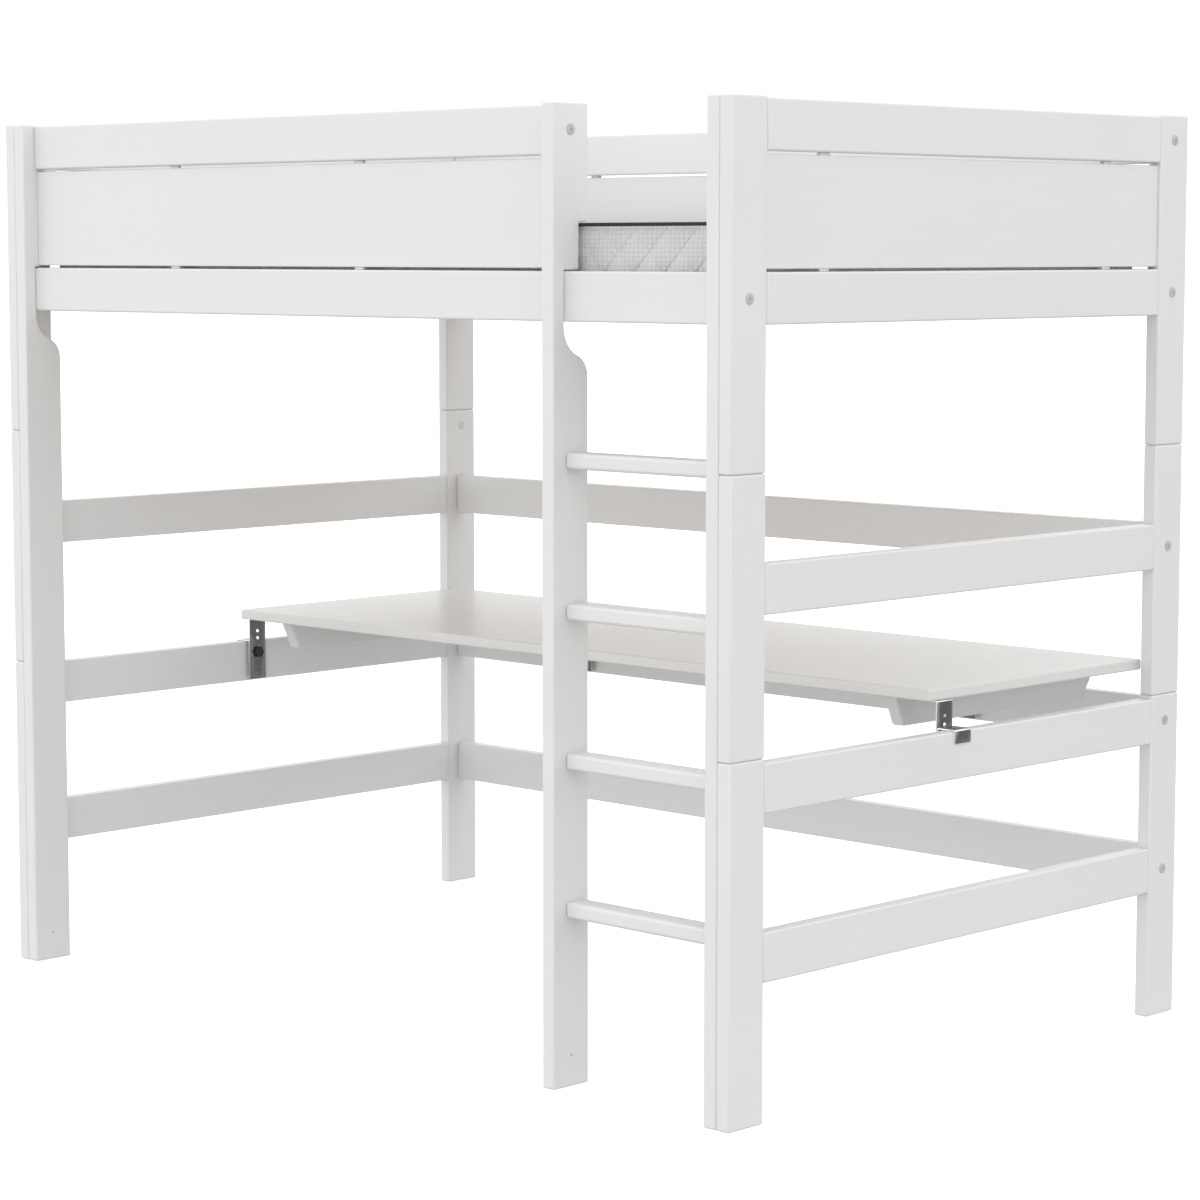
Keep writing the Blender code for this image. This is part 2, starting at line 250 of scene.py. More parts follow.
@dataclass(frozen=True)
class Lacquer:
    """Sprayed satin lacquer over fine-grained wood."""

    name: str
    colour: Triple
    grain: Grain
    roughness: Span = (0.36, 0.47)
    coat: float = 0.08

    def material(self) -> Material:
        """Return the lacquer as a material.

        Returns:
            The material: faint grain, soft clouds and orange peel.
        """
        weave = Weave(f"{self.name}_{self.grain.name.lower()}")
        grain = weave.noise(weave.drawn_out(self.grain, 26.0, 1.1), 5.0, 6.0, 0.35)
        peel = weave.noise(weave.coordinates, 620.0)
        cloud = weave.noise(weave.coordinates, 2.3, 3.0)
        mixed = weave.math("ADD", weave.math("MULTIPLY", grain, 0.3), weave.math("MULTIPLY", cloud, 0.7))
        return weave.finish(
            Base_Color=weave.mottled(mixed, (0.35, 0.65), self.colour, 0.972),
            Roughness=weave.ranged(grain, NOISE_SPAN, self.roughness),
            Normal=weave.bump(grain, 0.0006, 0.10, weave.bump(peel, 0.00025, 0.10)),
            Coat_Weight=self.coat,
            Coat_Roughness=0.25,
        )


@dataclass(frozen=True)
class Pine:
    """Planed softwood with growth rings and a few knots."""

    grain: Grain
    pale: Triple = (0.78, 0.62, 0.41)
    ring: Triple = (0.60, 0.41, 0.22)

    def material(self) -> Material:
        """Return the wood as a material.

        Returns:
            The material: rings, fibres and knots.
        """
        weave = Weave(f"pine_{self.grain.name.lower()}")
        rings = weave.add("ShaderNodeTexWave", wave_type="RINGS", rings_direction="SPHERICAL")
        log = weave.drawn_out(self.grain, 9.0, 0.55)
        weave.feed(rings, Vector=log, Scale=2.4, Distortion=5.0, Detail=3.0, Detail_Scale=1.2)
        fibre = weave.noise(weave.drawn_out(self.grain, 420.0, 9.0), 1.0, 3.0)
        cells = weave.fed("ShaderNodeTexVoronoi", Vector=weave.drawn_out(self.grain, 11.0, 3.5), Scale=1.0)
        knot = weave.ranged(cells.outputs["Distance"], (0.05, 0.13), (1.0, 0.0))
        ring_part = weave.math("MULTIPLY", rings.outputs["Fac"], 0.7)
        fibre_part = weave.math("MULTIPLY", fibre, 0.3)
        tone = weave.ranged(weave.math("ADD", ring_part, fibre_part), (0.2, 0.95), (0.0, 0.85))
        return weave.finish(
            Base_Color=weave.blend(weave.math("MAXIMUM", tone, knot), self.pale, self.ring),
            Roughness=weave.ranged(fibre, NOISE_SPAN, (0.52, 0.68)),
            Normal=weave.bump(fibre, 0.0004, 0.25),
        )


@dataclass(frozen=True)
class PlatedSteel:
    """Rolled steel sheet with a dark plated finish."""

    name: str = "plated_steel"
    colour: Triple = (0.25, 0.25, 0.255)
    roughness: Span = (0.12, 0.20)

    def material(self) -> Material:
        """Return the steel as a material.

        Returns:
            The material: rolling marks and cloudy plating.
        """
        weave = Weave(self.name)
        rolled = weave.noise(weave.stretched((60.0, 60.0, 900.0)), 1.0, 3.0)
        spots = weave.noise(weave.coordinates, 140.0, 4.0)
        return weave.finish(
            Base_Color=weave.mottled(spots, (0.35, 0.65), self.colour, 0.90),
            Roughness=weave.ranged(weave.math("MULTIPLY", rolled, spots), (0.15, 0.4), self.roughness),
            Normal=weave.bump(rolled, 0.0001, 0.03),
            Metallic=1.0,
        )


@dataclass(frozen=True)
class Plastic:
    """Moulded plastic with a fine spark-eroded grain."""

    name: str
    colour: Triple
    roughness: Span

    def material(self) -> Material:
        """Return the plastic as a material.

        Returns:
            The material: fine grain and faint clouds.
        """
        weave = Weave(self.name)
        cloud = weave.noise(weave.coordinates, 60.0)
        return weave.finish(
            Base_Color=weave.mottled(cloud, NOISE_SPAN, self.colour, 0.85),
            Roughness=weave.ranged(cloud, NOISE_SPAN, self.roughness),
            Normal=weave.bump(weave.noise(weave.coordinates, 1500.0), 0.0001, 0.25),
        )


@dataclass(frozen=True)
class KnittedCover:
    """Double knit with a small waffle cell, as on a quilted mattress cover."""

    cell: Triple = (0.0110, 0.0110, 0.0081)
    pale: Triple = (0.70, 0.703, 0.71)
    # The colour of the waffle's hollows: painted shade.
    painted_pit_shade: Triple = (0.60, 0.603, 0.612)
    yarn: float = 0.0011
    quilt: float = 0.074
    quilt_shift: float = -0.0105
    stitch: float = 0.0058

    def waves(self, weave: Weave, cell: Triple) -> NodeSocket:
        """Return the sum of one cosine wave on each axis.

        Args:
            weave: The material's nodes.
            cell: Each wave's length.

        Returns:
            The sum's socket, from 0 to 1.
        """
        turns = tuple(2 * math.pi / size for size in cell)
        parts = weave.fed("ShaderNodeSeparateXYZ", Vector=weave.stretched(turns))
        waves = [weave.math("COSINE", parts.outputs[axis]) for axis in "XYZ"]
        total = weave.math("ADD", weave.math("ADD", waves[0], waves[1]), waves[2])
        return weave.ranged(total, (-2.0, 2.0))

    def seam(self, weave: Weave, across: NodeSocket, along: NodeSocket, depth: float) -> NodeSocket:
        """Return the height of one family of stitch lines.

        Args:
            weave: The material's nodes.
            across: How far across the lines a point is.
            along: How far along them it is.
            depth: How deep they are.

        Returns:
            The height's socket: 1 between the lines, lower and dotted on them.
        """
        turn = weave.math("DIVIDE", weave.math("SUBTRACT", across, self.quilt_shift), self.quilt)
        distance = weave.math("PINGPONG", turn, 0.5)
        wall = weave.ranged(distance, (0.012, 0.10), (1.0 - depth, 1.0))
        beads = weave.math("SINE", weave.math("MULTIPLY", along, 2 * math.pi / self.stitch))
        return weave.math("ADD", wall, weave.ranged(beads, (-1.0, 1.0), (0.0, 0.16 * depth)))

    def material(self) -> Material:
        """Return the knit as a material.

        Returns:
            The material: yarn, waffle cells with painted shade in their hollows, fluff and dotted seams.
        """
        weave = Weave("knitted_cover")
        flat = weave.fed("ShaderNodeSeparateXYZ", Vector=weave.add("ShaderNodeTexCoord").outputs["UV"])
        falling = weave.math("SUBTRACT", flat.outputs["X"], flat.outputs["Y"])
        rising = weave.math("ADD", flat.outputs["X"], flat.outputs["Y"])
        strong, weak = self.seam(weave, falling, rising, 0.8), self.seam(weave, rising, falling, 0.3)
        waffle = self.waves(weave, self.cell)
        yarn = self.waves(weave, (self.yarn, self.yarn, self.yarn))
        fluff = weave.noise(weave.coordinates, 260.0, 4.0)
        # Colour darkens in the waffle's hollows as painted shade, and varies at random with the fluff.
        hollow_shade_and_fluff = weave.math("ADD", waffle, weave.math("MULTIPLY", weave.math("SUBTRACT", fluff, 0.5), 0.7))
        normal = weave.bump(yarn, 0.0003, 0.35)
        normal = weave.bump(fluff, 0.0008, 0.25, normal)
        normal = weave.bump(waffle, 0.0016, 0.36, normal)
        return weave.finish(
            Base_Color=weave.blend(weave.ranged(hollow_shade_and_fluff, (0.05, 0.62)), self.painted_pit_shade, self.pale),
            Roughness=weave.ranged(fluff, NOISE_SPAN, (0.82, 0.95)),
            Normal=weave.bump(weave.math("MULTIPLY", strong, weak), 0.0030, 0.80, normal),
            Sheen_Weight=0.25,
            Sheen_Roughness=0.6,
        )


@dataclass(frozen=True)
class Webbing:
    """Close-woven tape with a rib across it."""

    name: str
    colour: Triple
    rib: Triple

    def material(self) -> Material:
        """Return the tape as a material.

        Returns:
            The material: ribs crossed by threads, with painted shade in their hollows.
        """
        weave = Weave(self.name)
        turns = tuple(2 * math.pi / size for size in self.rib)
        parts = weave.fed("ShaderNodeSeparateXYZ", Vector=weave.stretched(turns))
        rows = weave.math("SINE", weave.math("ADD", parts.outputs["X"], parts.outputs["Y"]))
        threads = weave.math("SINE", parts.outputs["Z"])
        relief = weave.ranged(weave.math("MULTIPLY", rows, threads), (-1.0, 1.0))
        fluff = weave.noise(weave.coordinates, 900.0, 3.0)
        return weave.finish(
            # Colour darkens where the weave's relief is low, as painted shade, and at random with the fluff.
            Base_Color=weave.mottled(weave.math("MULTIPLY", relief, fluff), (0.0, 1.0), self.colour, 0.55),
            Roughness=weave.ranged(fluff, NOISE_SPAN, (0.70, 0.85)),
            Normal=weave.bump(relief, 0.0005, 0.5),
        )


class Finishes:
    """Every finish on the bed, each made once and kept."""

    WHITE: Triple = (0.80, 0.80, 0.80)
    # The desk's white is the bed's lacquer made darker and warmer: painted shade and warm bounce from under
    # the bed.
    SHADED_DESK_WHITE: Triple = (0.755, 0.749, 0.735)

    def __init__(self) -> None:
        """Make the materials."""
        self.white = {g: Lacquer("white_lacquer", self.WHITE, g).material() for g in Grain}
        self.desk = {g: Lacquer("desk_lacquer", self.SHADED_DESK_WHITE, g, (0.30, 0.40)).material() for g in Grain}
        self.pine = {g: Pine(g).material() for g in (Grain.LENGTH, Grain.DEPTH)}
        self.steel = PlatedSteel().material()
        self.bright_steel = PlatedSteel("bright_steel", (0.62, 0.62, 0.62), (0.18, 0.30)).material()
        # A near-white copy of the plated steel for sheet edges, bends and hole walls: painted highlights.
        self.edge_highlight_steel = PlatedSteel("edge_highlight_steel", (0.92, 0.92, 0.92), (0.16, 0.24)).material()
        self.knob = Plastic("black_plastic", (0.018, 0.018, 0.019), (0.42, 0.55)).material()
        self.cap = Plastic("pale_plastic", (0.70, 0.70, 0.69), (0.40, 0.52)).material()
        self.bolt = Plastic("painted_bolt", (0.56, 0.56, 0.56), (0.34, 0.44)).material()
        self.knit = KnittedCover().material()
        self.tape = Webbing("dark_edge_tape", (0.035, 0.035, 0.038), (0.0022, 0.0022, 0.0013)).material()
        self.strap = Webbing("slat_webbing", (0.62, 0.60, 0.56), (0.004, 0.004, 0.0013)).material()


# ---------------------------------------------------------------- pieces


class Carpentry:
    """Shared ways to shape a piece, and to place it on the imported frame."""

    STRIP = 0.0016
    SPECK = 0.0002

    def __init__(self) -> None:
        """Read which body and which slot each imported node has."""
        record = frame["record"]
        bodies = record["behaviour"]["bodies"]
        self.body_of: dict[str, str] = {n: body for body, nodes in bodies.items() for n in nodes}
        self.slot_of: dict[str, str] = {s["node"]: s["material_slot"] for s in record["subparts"]}
        self.made: list[Object] = []

    def piece(self, name: str, bm: BMesh, material: Material, shading: Shading) -> Object:
        """Turn a bmesh into a linked object at the origin.

        Args:
            name: The object's name.
            bm: The shape, which is freed.
            material: Its finish.
            shading: How its faces are shaded.

        Returns:
            The new object.
        """
        bmesh.ops.recalc_face_normals(bm, faces=bm.faces)
        for face in bm.faces:
            face.smooth = shading is not Shading.EASED or self.narrow(face)
        mesh = bpy.data.meshes.new(name)
        bm.to_mesh(mesh)
        bm.free()
        mesh.materials.append(material)
        if shading is Shading.BY_ANGLE:
            mesh.set_sharp_from_angle(angle=CREASE)
        obj = bpy.data.objects.new(name, mesh)
        bpy.context.scene.collection.objects.link(obj)
        return obj

    def narrow(self, face: BMFace) -> bool:
        """Return whether a face is a strip of a rounded edge, not a board's own side."""
        area = face.calc_area()
        return area < face.calc_perimeter() * self.STRIP or area < self.SPECK

    def stand_for(self, piece: Object, *nodes: str) -> Object:
        """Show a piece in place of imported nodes, and move it with them.

        Args:
            piece: The piece.
            *nodes: The nodes it replaces.

        Returns:
            The same piece.
        """
        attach(piece, self.body_of[nodes[0]])
        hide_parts(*nodes)
        self.made.append(piece)
        return piece

    def add_to(self, piece: Object, node: str, slot: str) -> Object:
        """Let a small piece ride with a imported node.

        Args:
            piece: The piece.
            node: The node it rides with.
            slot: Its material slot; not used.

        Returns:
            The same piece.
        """
        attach(piece, self.body_of[node])
        self.made.append(piece)
        return piece


def block(low: Vector, high: Vector, radius: float, segments: int = ARC_STEPS) -> BMesh:
    """Return a box between two corners, with every edge rounded.

    Args:
        low: The lowest corner.
        high: The highest corner.
        radius: The edges' radius.
        segments: How many faces each rounded edge has.

    Returns:
        The shape.
    """
    bm = bmesh.new()
    size = high - low
    matrix = Matrix.Translation((low + high) / 2) @ Matrix.Diagonal((*size, 1.0))
    bmesh.ops.create_cube(bm, size=1.0, matrix=matrix)
    round_edges(bm, list(bm.edges), radius, segments)
    return bm


def round_edges(bm: BMesh, edges: list[BMEdge], radius: float, segments: int) -> None:
    """Round edges with a true arc.

    Args:
        bm: The shape.
        edges: The edges to round.
        radius: The arc's radius.
        segments: How many faces the arc has.
    """
    bmesh.ops.bevel(
        bm, geom=edges, offset=radius, offset_type="OFFSET", segments=segments, profile=0.5,
        affect="EDGES", clamp_overlap=True, material=-1,
    )


def sharp_edges(bm: BMesh, degrees: float) -> list[BMEdge]:
    """Return the edges whose faces meet more sharply than an angle."""
    limit = math.radians(degrees)
    return [edge for edge in bm.edges if edge.calc_face_angle(0.0) > limit]


def sweep_vertex(bm: BMesh, start: Vector, centre: Vector, axis: Vector, degrees: float, steps: int) -> None:
    """Draw an arc of edges by turning one vertex about a centre."""
    vert = bm.verts.new(start)
    bmesh.ops.spin(bm, geom=[vert], cent=centre, axis=axis, angle=math.radians(degrees), steps=steps)


def joined_in_order(bm: BMesh, start: int) -> None:
    """Join loose runs of vertices into one closed loop and fill it.

    Args:
        bm: The shape.
        start: The first vertex of the loop; the rest follow in the order they were made.
    """
    bm.verts.ensure_lookup_table()
    bm.verts.index_update()
    loop = list(bm.verts)[start:]
    for first, second in zip(loop, loop[1:] + loop[:1]):
        if bm.edges.get((first, second)) is None:
            bm.edges.new((first, second))
    bmesh.ops.contextual_create(bm, geom=[edge for edge in bm.edges if edge.verts[0] in loop])


def thicken(bm: BMesh, shift: Vector) -> None:
    """Extrude the only faces of a bmesh.

    Args:
        bm: The shape.
        shift: How far they are extruded, and which way.
    """
    result = bmesh.ops.extrude_face_region(bm, geom=list(bm.faces))
    moved = [item for item in result["geom"] if isinstance(item, BMVert)]
    bmesh.ops.translate(bm, verts=moved, vec=shift)
    bmesh.ops.recalc_face_normals(bm, faces=bm.faces)


def absorb(bm: BMesh, other: BMesh) -> None:
    """Copy another shape into a bmesh.

    Args:
        bm: The bmesh that takes it in.
        other: The shape, which is freed.
    """
    mesh = bpy.data.meshes.new("copy")
    other.to_mesh(mesh)
    other.free()
    bm.from_mesh(mesh)
    bpy.data.meshes.remove(mesh)


def bake(obj: Object) -> None:
    """Replace an object's mesh with its evaluated one, and drop its modifiers.

    Args:
        obj: The object.
    """
    graph = bpy.context.evaluated_depsgraph_get()
    shaped = bpy.data.meshes.new_from_object(obj.evaluated_get(graph))
    obj.modifiers.clear()
    obj.data = shaped


def cut(obj: Object, cutter: BMesh) -> None:
    """Take a cutter's shape out of an object's mesh.

    Args:
        obj: The object to cut.
        cutter: The cutter's shape, which is freed.
    """
    bmesh.ops.recalc_face_normals(cutter, faces=cutter.faces)
    mesh = bpy.data.meshes.new("cutter")
    cutter.to_mesh(mesh)
    cutter.free()
    tool = bpy.data.objects.new("cutter", mesh)
    bpy.context.scene.collection.objects.link(tool)
    modifier = obj.modifiers.new("cut", "BOOLEAN")
    modifier.operation = "DIFFERENCE"
    modifier.solver = "EXACT"
    modifier.object = tool
    bake(obj)
    bpy.data.objects.remove(tool, do_unlink=True)


@dataclass
class Boards:
    """All the straight lacquered boards: posts, rails, panels, rungs and the desk's boards."""

    shop: Carpentry
    finishes: Finishes
    edge_radius: float = 0.0038
    rung_radius: float = 0.0065
    panel_radius: float = 0.0022
    gap: float = 0.0052
    spacer_width: float = 0.025
    spacer_radius: float = 0.0008
    spacer_overlap: float = 1.4
    front_spacers: Span = (-0.518, 0.041)
    rear_spacers: Triple = (-0.549, 0.0, 0.549)
    end_spacers: Span = (-0.4135, 0.4135)

    def grain_of(self, node: str) -> Grain:
        """Return the direction of a node's longest side.

        Args:
            node: The node.

        Returns:
            The direction.
        """
        low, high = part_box(node)
        size = list(high - low)
        return Grain(size.index(max(size)))

    def board(self, node: str, radius: float) -> Object:
        """Build one board on its node's box.

        Args:
            node: The node.
            radius: Its edges' radius.

        Returns:
            The board.
        """
        low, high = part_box(node)
        grain = self.grain_of(node)
        shelf = self.finishes.desk if node.startswith("desk") else self.finishes.white
        bm = block(low, high, radius)
        piece = self.shop.piece(f"{node}_board", bm, shelf[grain], Shading.EASED)
        return self.shop.stand_for(piece, node)

    def panel(self, node: str, spacers: tuple[float, ...]) -> None:
        """Build a guard panel and the flat spacers in the gaps above and below it.

        Args:
            node: The node.
            spacers: The spacers' places along it.
        """
        low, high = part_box(node)
        run = self.grain_of(node).value
        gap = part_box(node.replace("guard_panel", "guard_rail"))[0].z - high.z
        reveal = Vector((0.0, 0.0, self.gap - gap))
        bm = block(low + reveal, high - reveal, self.panel_radius)
        finish = self.finishes.white[Grain(run)]
        piece = self.shop.piece(f"{node}_board", bm, finish, Shading.EASED)
        self.shop.stand_for(piece, node)
        across = 1 - run
        quarter = (high[across] - low[across]) / 4
        tall = self.gap * self.spacer_overlap
        pegs = bmesh.new()
        for middle in spacers:
            for bottom, top in ((low.z, low.z + tall), (high.z - tall, high.z)):
                start, end = Vector(low), Vector(high)
                start[run], end[run] = middle - self.spacer_width / 2, middle + self.spacer_width / 2
                start[across], end[across] = low[across] + quarter, high[across] - quarter
                start.z, end.z = bottom, top
                absorb(pegs, block(start, end, self.spacer_radius, 2))
        spacer = self.shop.piece(f"{node}_spacers", pegs, finish, Shading.EASED)
        self.shop.add_to(spacer, node, "white_lacquer")

    def build(self) -> None:
        """Build every board whose node is a plain box."""
        for node in sorted(self.shop.body_of):
            if node.startswith("post") or node.endswith("_rail") or node == "desk_top":
                self.board(node, self.edge_radius)
            elif node.startswith("ladder_rung"):
                self.board(node, self.rung_radius)
        self.panel("front_guard_panel", self.front_spacers)
        self.panel("rear_guard_panel", self.rear_spacers)
        self.panel("left_guard_panel", self.end_spacers)
        self.panel("right_guard_panel", self.end_spacers)


@dataclass
class Uprights:
    """The three one-piece front uprights, notched over the bed rail and the mattress."""

    shop: Carpentry
    finishes: Finishes
    edge_radius: float = 0.0038
    strip: float = 0.0297
    shoulder_depth: float = 0.067
    notch_ceiling: float = 1.488
    shoulder: float = 1.5732
    neck_top: float = 1.387
    neck_middle: float = 1.3375
    neck_bottom: float = 1.297
    foot_hole_radius: float = 0.0018
    foot_hole_height: float = 0.059
    foot_hole_depth: float = 0.006
    arc_steps: int = 14
    least_corner: float = 25.0

    def outline(self, bm: BMesh, low: Vector, high: Vector) -> None:
        """Draw the side outline at the upright's left face, and fill it.

        Args:
            bm: The bmesh to draw in.
            low: The upright's lowest corner.
            high: The upright's highest corner.
        """
        x = low.x
        back, strip_y = high.y, low.y + self.strip
        half = (back - strip_y) / 2
        axis = Vector((1.0, 0.0, 0.0))
        lower_drop = self.neck_middle - self.neck_bottom
        upper_drop = self.neck_top - self.neck_middle
        lower_r = (half ** 2 + lower_drop ** 2) / (2 * half)
        upper_r = (half ** 2 + upper_drop ** 2) / (2 * half)
        lower_turn = math.degrees(math.asin(lower_drop / lower_r))
        upper_turn = math.degrees(math.asin(upper_drop / upper_r))
        bm.verts.new((x, low.y, low.z))
        bm.verts.new((x, back, low.z))
        start = Vector((x, back, self.neck_bottom))
        centre = Vector((x, back - lower_r, self.neck_bottom))
        sweep_vertex(bm, start, centre, axis, lower_turn, self.arc_steps)
        middle = Vector((x, back - half, self.neck_middle))
        centre = Vector((x, strip_y + upper_r, self.neck_top))
        sweep_vertex(bm, middle, centre, axis, -upper_turn, self.arc_steps)
        shoulder_y = low.y + self.shoulder_depth
        for y, z in (
            (strip_y, self.notch_ceiling),
            (shoulder_y, self.notch_ceiling),
            (shoulder_y, self.shoulder),
            (back, self.shoulder),
            (back, high.z),
            (low.y, high.z),
        ):
            bm.verts.new((x, y, z))
        bmesh.ops.remove_doubles(bm, verts=bm.verts, dist=10 * NEAR)
        joined_in_order(bm, 0)

    def upright(self, node: str) -> None:
        """Build one upright.

        Args:
            node: Its node.
        """
        low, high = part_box(node)
        bm = bmesh.new()
        self.outline(bm, low, high)
        thicken(bm, Vector((high.x - low.x, 0.0, 0.0)))
        round_edges(bm, sharp_edges(bm, self.least_corner), self.edge_radius, ARC_STEPS)
        piece = self.shop.piece(f"{node}_board", bm, self.finishes.white[Grain.HEIGHT], Shading.EASED)
        if node != "upright_ladder_right":
            mouth = Vector((high.x + self.foot_hole_depth, (low.y + high.y) / 2, self.foot_hole_height))
            floor = mouth - Vector((2 * self.foot_hole_depth, 0.0, 0.0))
            cut(piece, rod(self.foot_hole_radius, mouth, floor))
        self.shop.stand_for(piece, node)

    def build(self) -> None:
        """Build the three uprights."""
        for node in ("upright_left_end", "upright_ladder_left", "upright_ladder_right"):
            self.upright(node)


@dataclass
class DeskBattens:
    """The two battens under the desk, cut back at a slant at both ends."""

    shop: Carpentry
    finishes: Finishes
    edge_radius: float = 0.0038
    front_slant: float = 0.028
    rear_slant: float = 0.041

    def batten(self, node: str) -> None:
        """Build one batten.

        Args:
            node: Its node.
        """
        low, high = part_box(node)
        bm = bmesh.new()
        for y, z in (
            (low.y + self.front_slant, low.z),
            (high.y - self.rear_slant, low.z),
            (high.y, high.z),
            (low.y, high.z),
        ):
            bm.verts.new((low.x, y, z))
        joined_in_order(bm, 0)
        thicken(bm, Vector((high.x - low.x, 0.0, 0.0)))
        round_edges(bm, list(bm.edges), self.edge_radius, ARC_STEPS)
        piece = self.shop.piece(f"{node}_board", bm, self.finishes.desk[Grain.DEPTH], Shading.EASED)
        self.shop.stand_for(piece, node)

    def build(self) -> None:
        """Build both battens."""
        for node in ("desk_batten_left", "desk_batten_right"):
            self.batten(node)


@dataclass(frozen=True)
class Corner:
    """A corner of a bent sheet's section, and the radius it is bent to."""

    out: float
    up: float
    radius: float = 0.0


def bent_sheet(corners: list[Corner], width: float, rim: float = 0.0004) -> BMesh:
    """Return a sheet section that runs along Y, with its bends and its rims rounded.

    Args:
        corners: The section's corners in order, out along X and up along Z.
        width: The sheet's width.
        rim: The radius of its sharp rims.

    Returns:
        The shape, centred on Y = 0.
    """
    bm = bmesh.new()
    for corner in corners:
        bm.verts.new((corner.out, -width / 2, corner.up))
    joined_in_order(bm, 0)
    thicken(bm, Vector((0.0, width, 0.0)))
    for corner in corners:
        if corner.radius > 0.0:
            bend = [
                edge for edge in bm.edges
                if all((v.co.xz - Vector((corner.out, corner.up))).length < NEAR for v in edge.verts)
            ]
            round_edges(bm, bend, corner.radius, 6)
    round_edges(bm, sharp_edges(bm, SHARP), rim, 2)
    return bm


def rod(radius: float, start: Vector, end: Vector, segments: int = 32) -> BMesh:
    """Return a plain round bar, for cutting and for studs.

    Args:
        radius: The bar's radius.
        start: The middle of one end.
        end: The middle of the other.
        segments: How many sides it has.

    Returns:
        The shape.
    """
    bm = bmesh.new()
    line = end - start
    matrix = Matrix.Translation((start + end) / 2) @ line.to_track_quat("Z", "Y").to_matrix().to_4x4()
    bmesh.ops.create_cone(
        bm, cap_ends=True, segments=segments, radius1=radius, radius2=radius,
        depth=line.length, matrix=matrix,
    )
    return bm


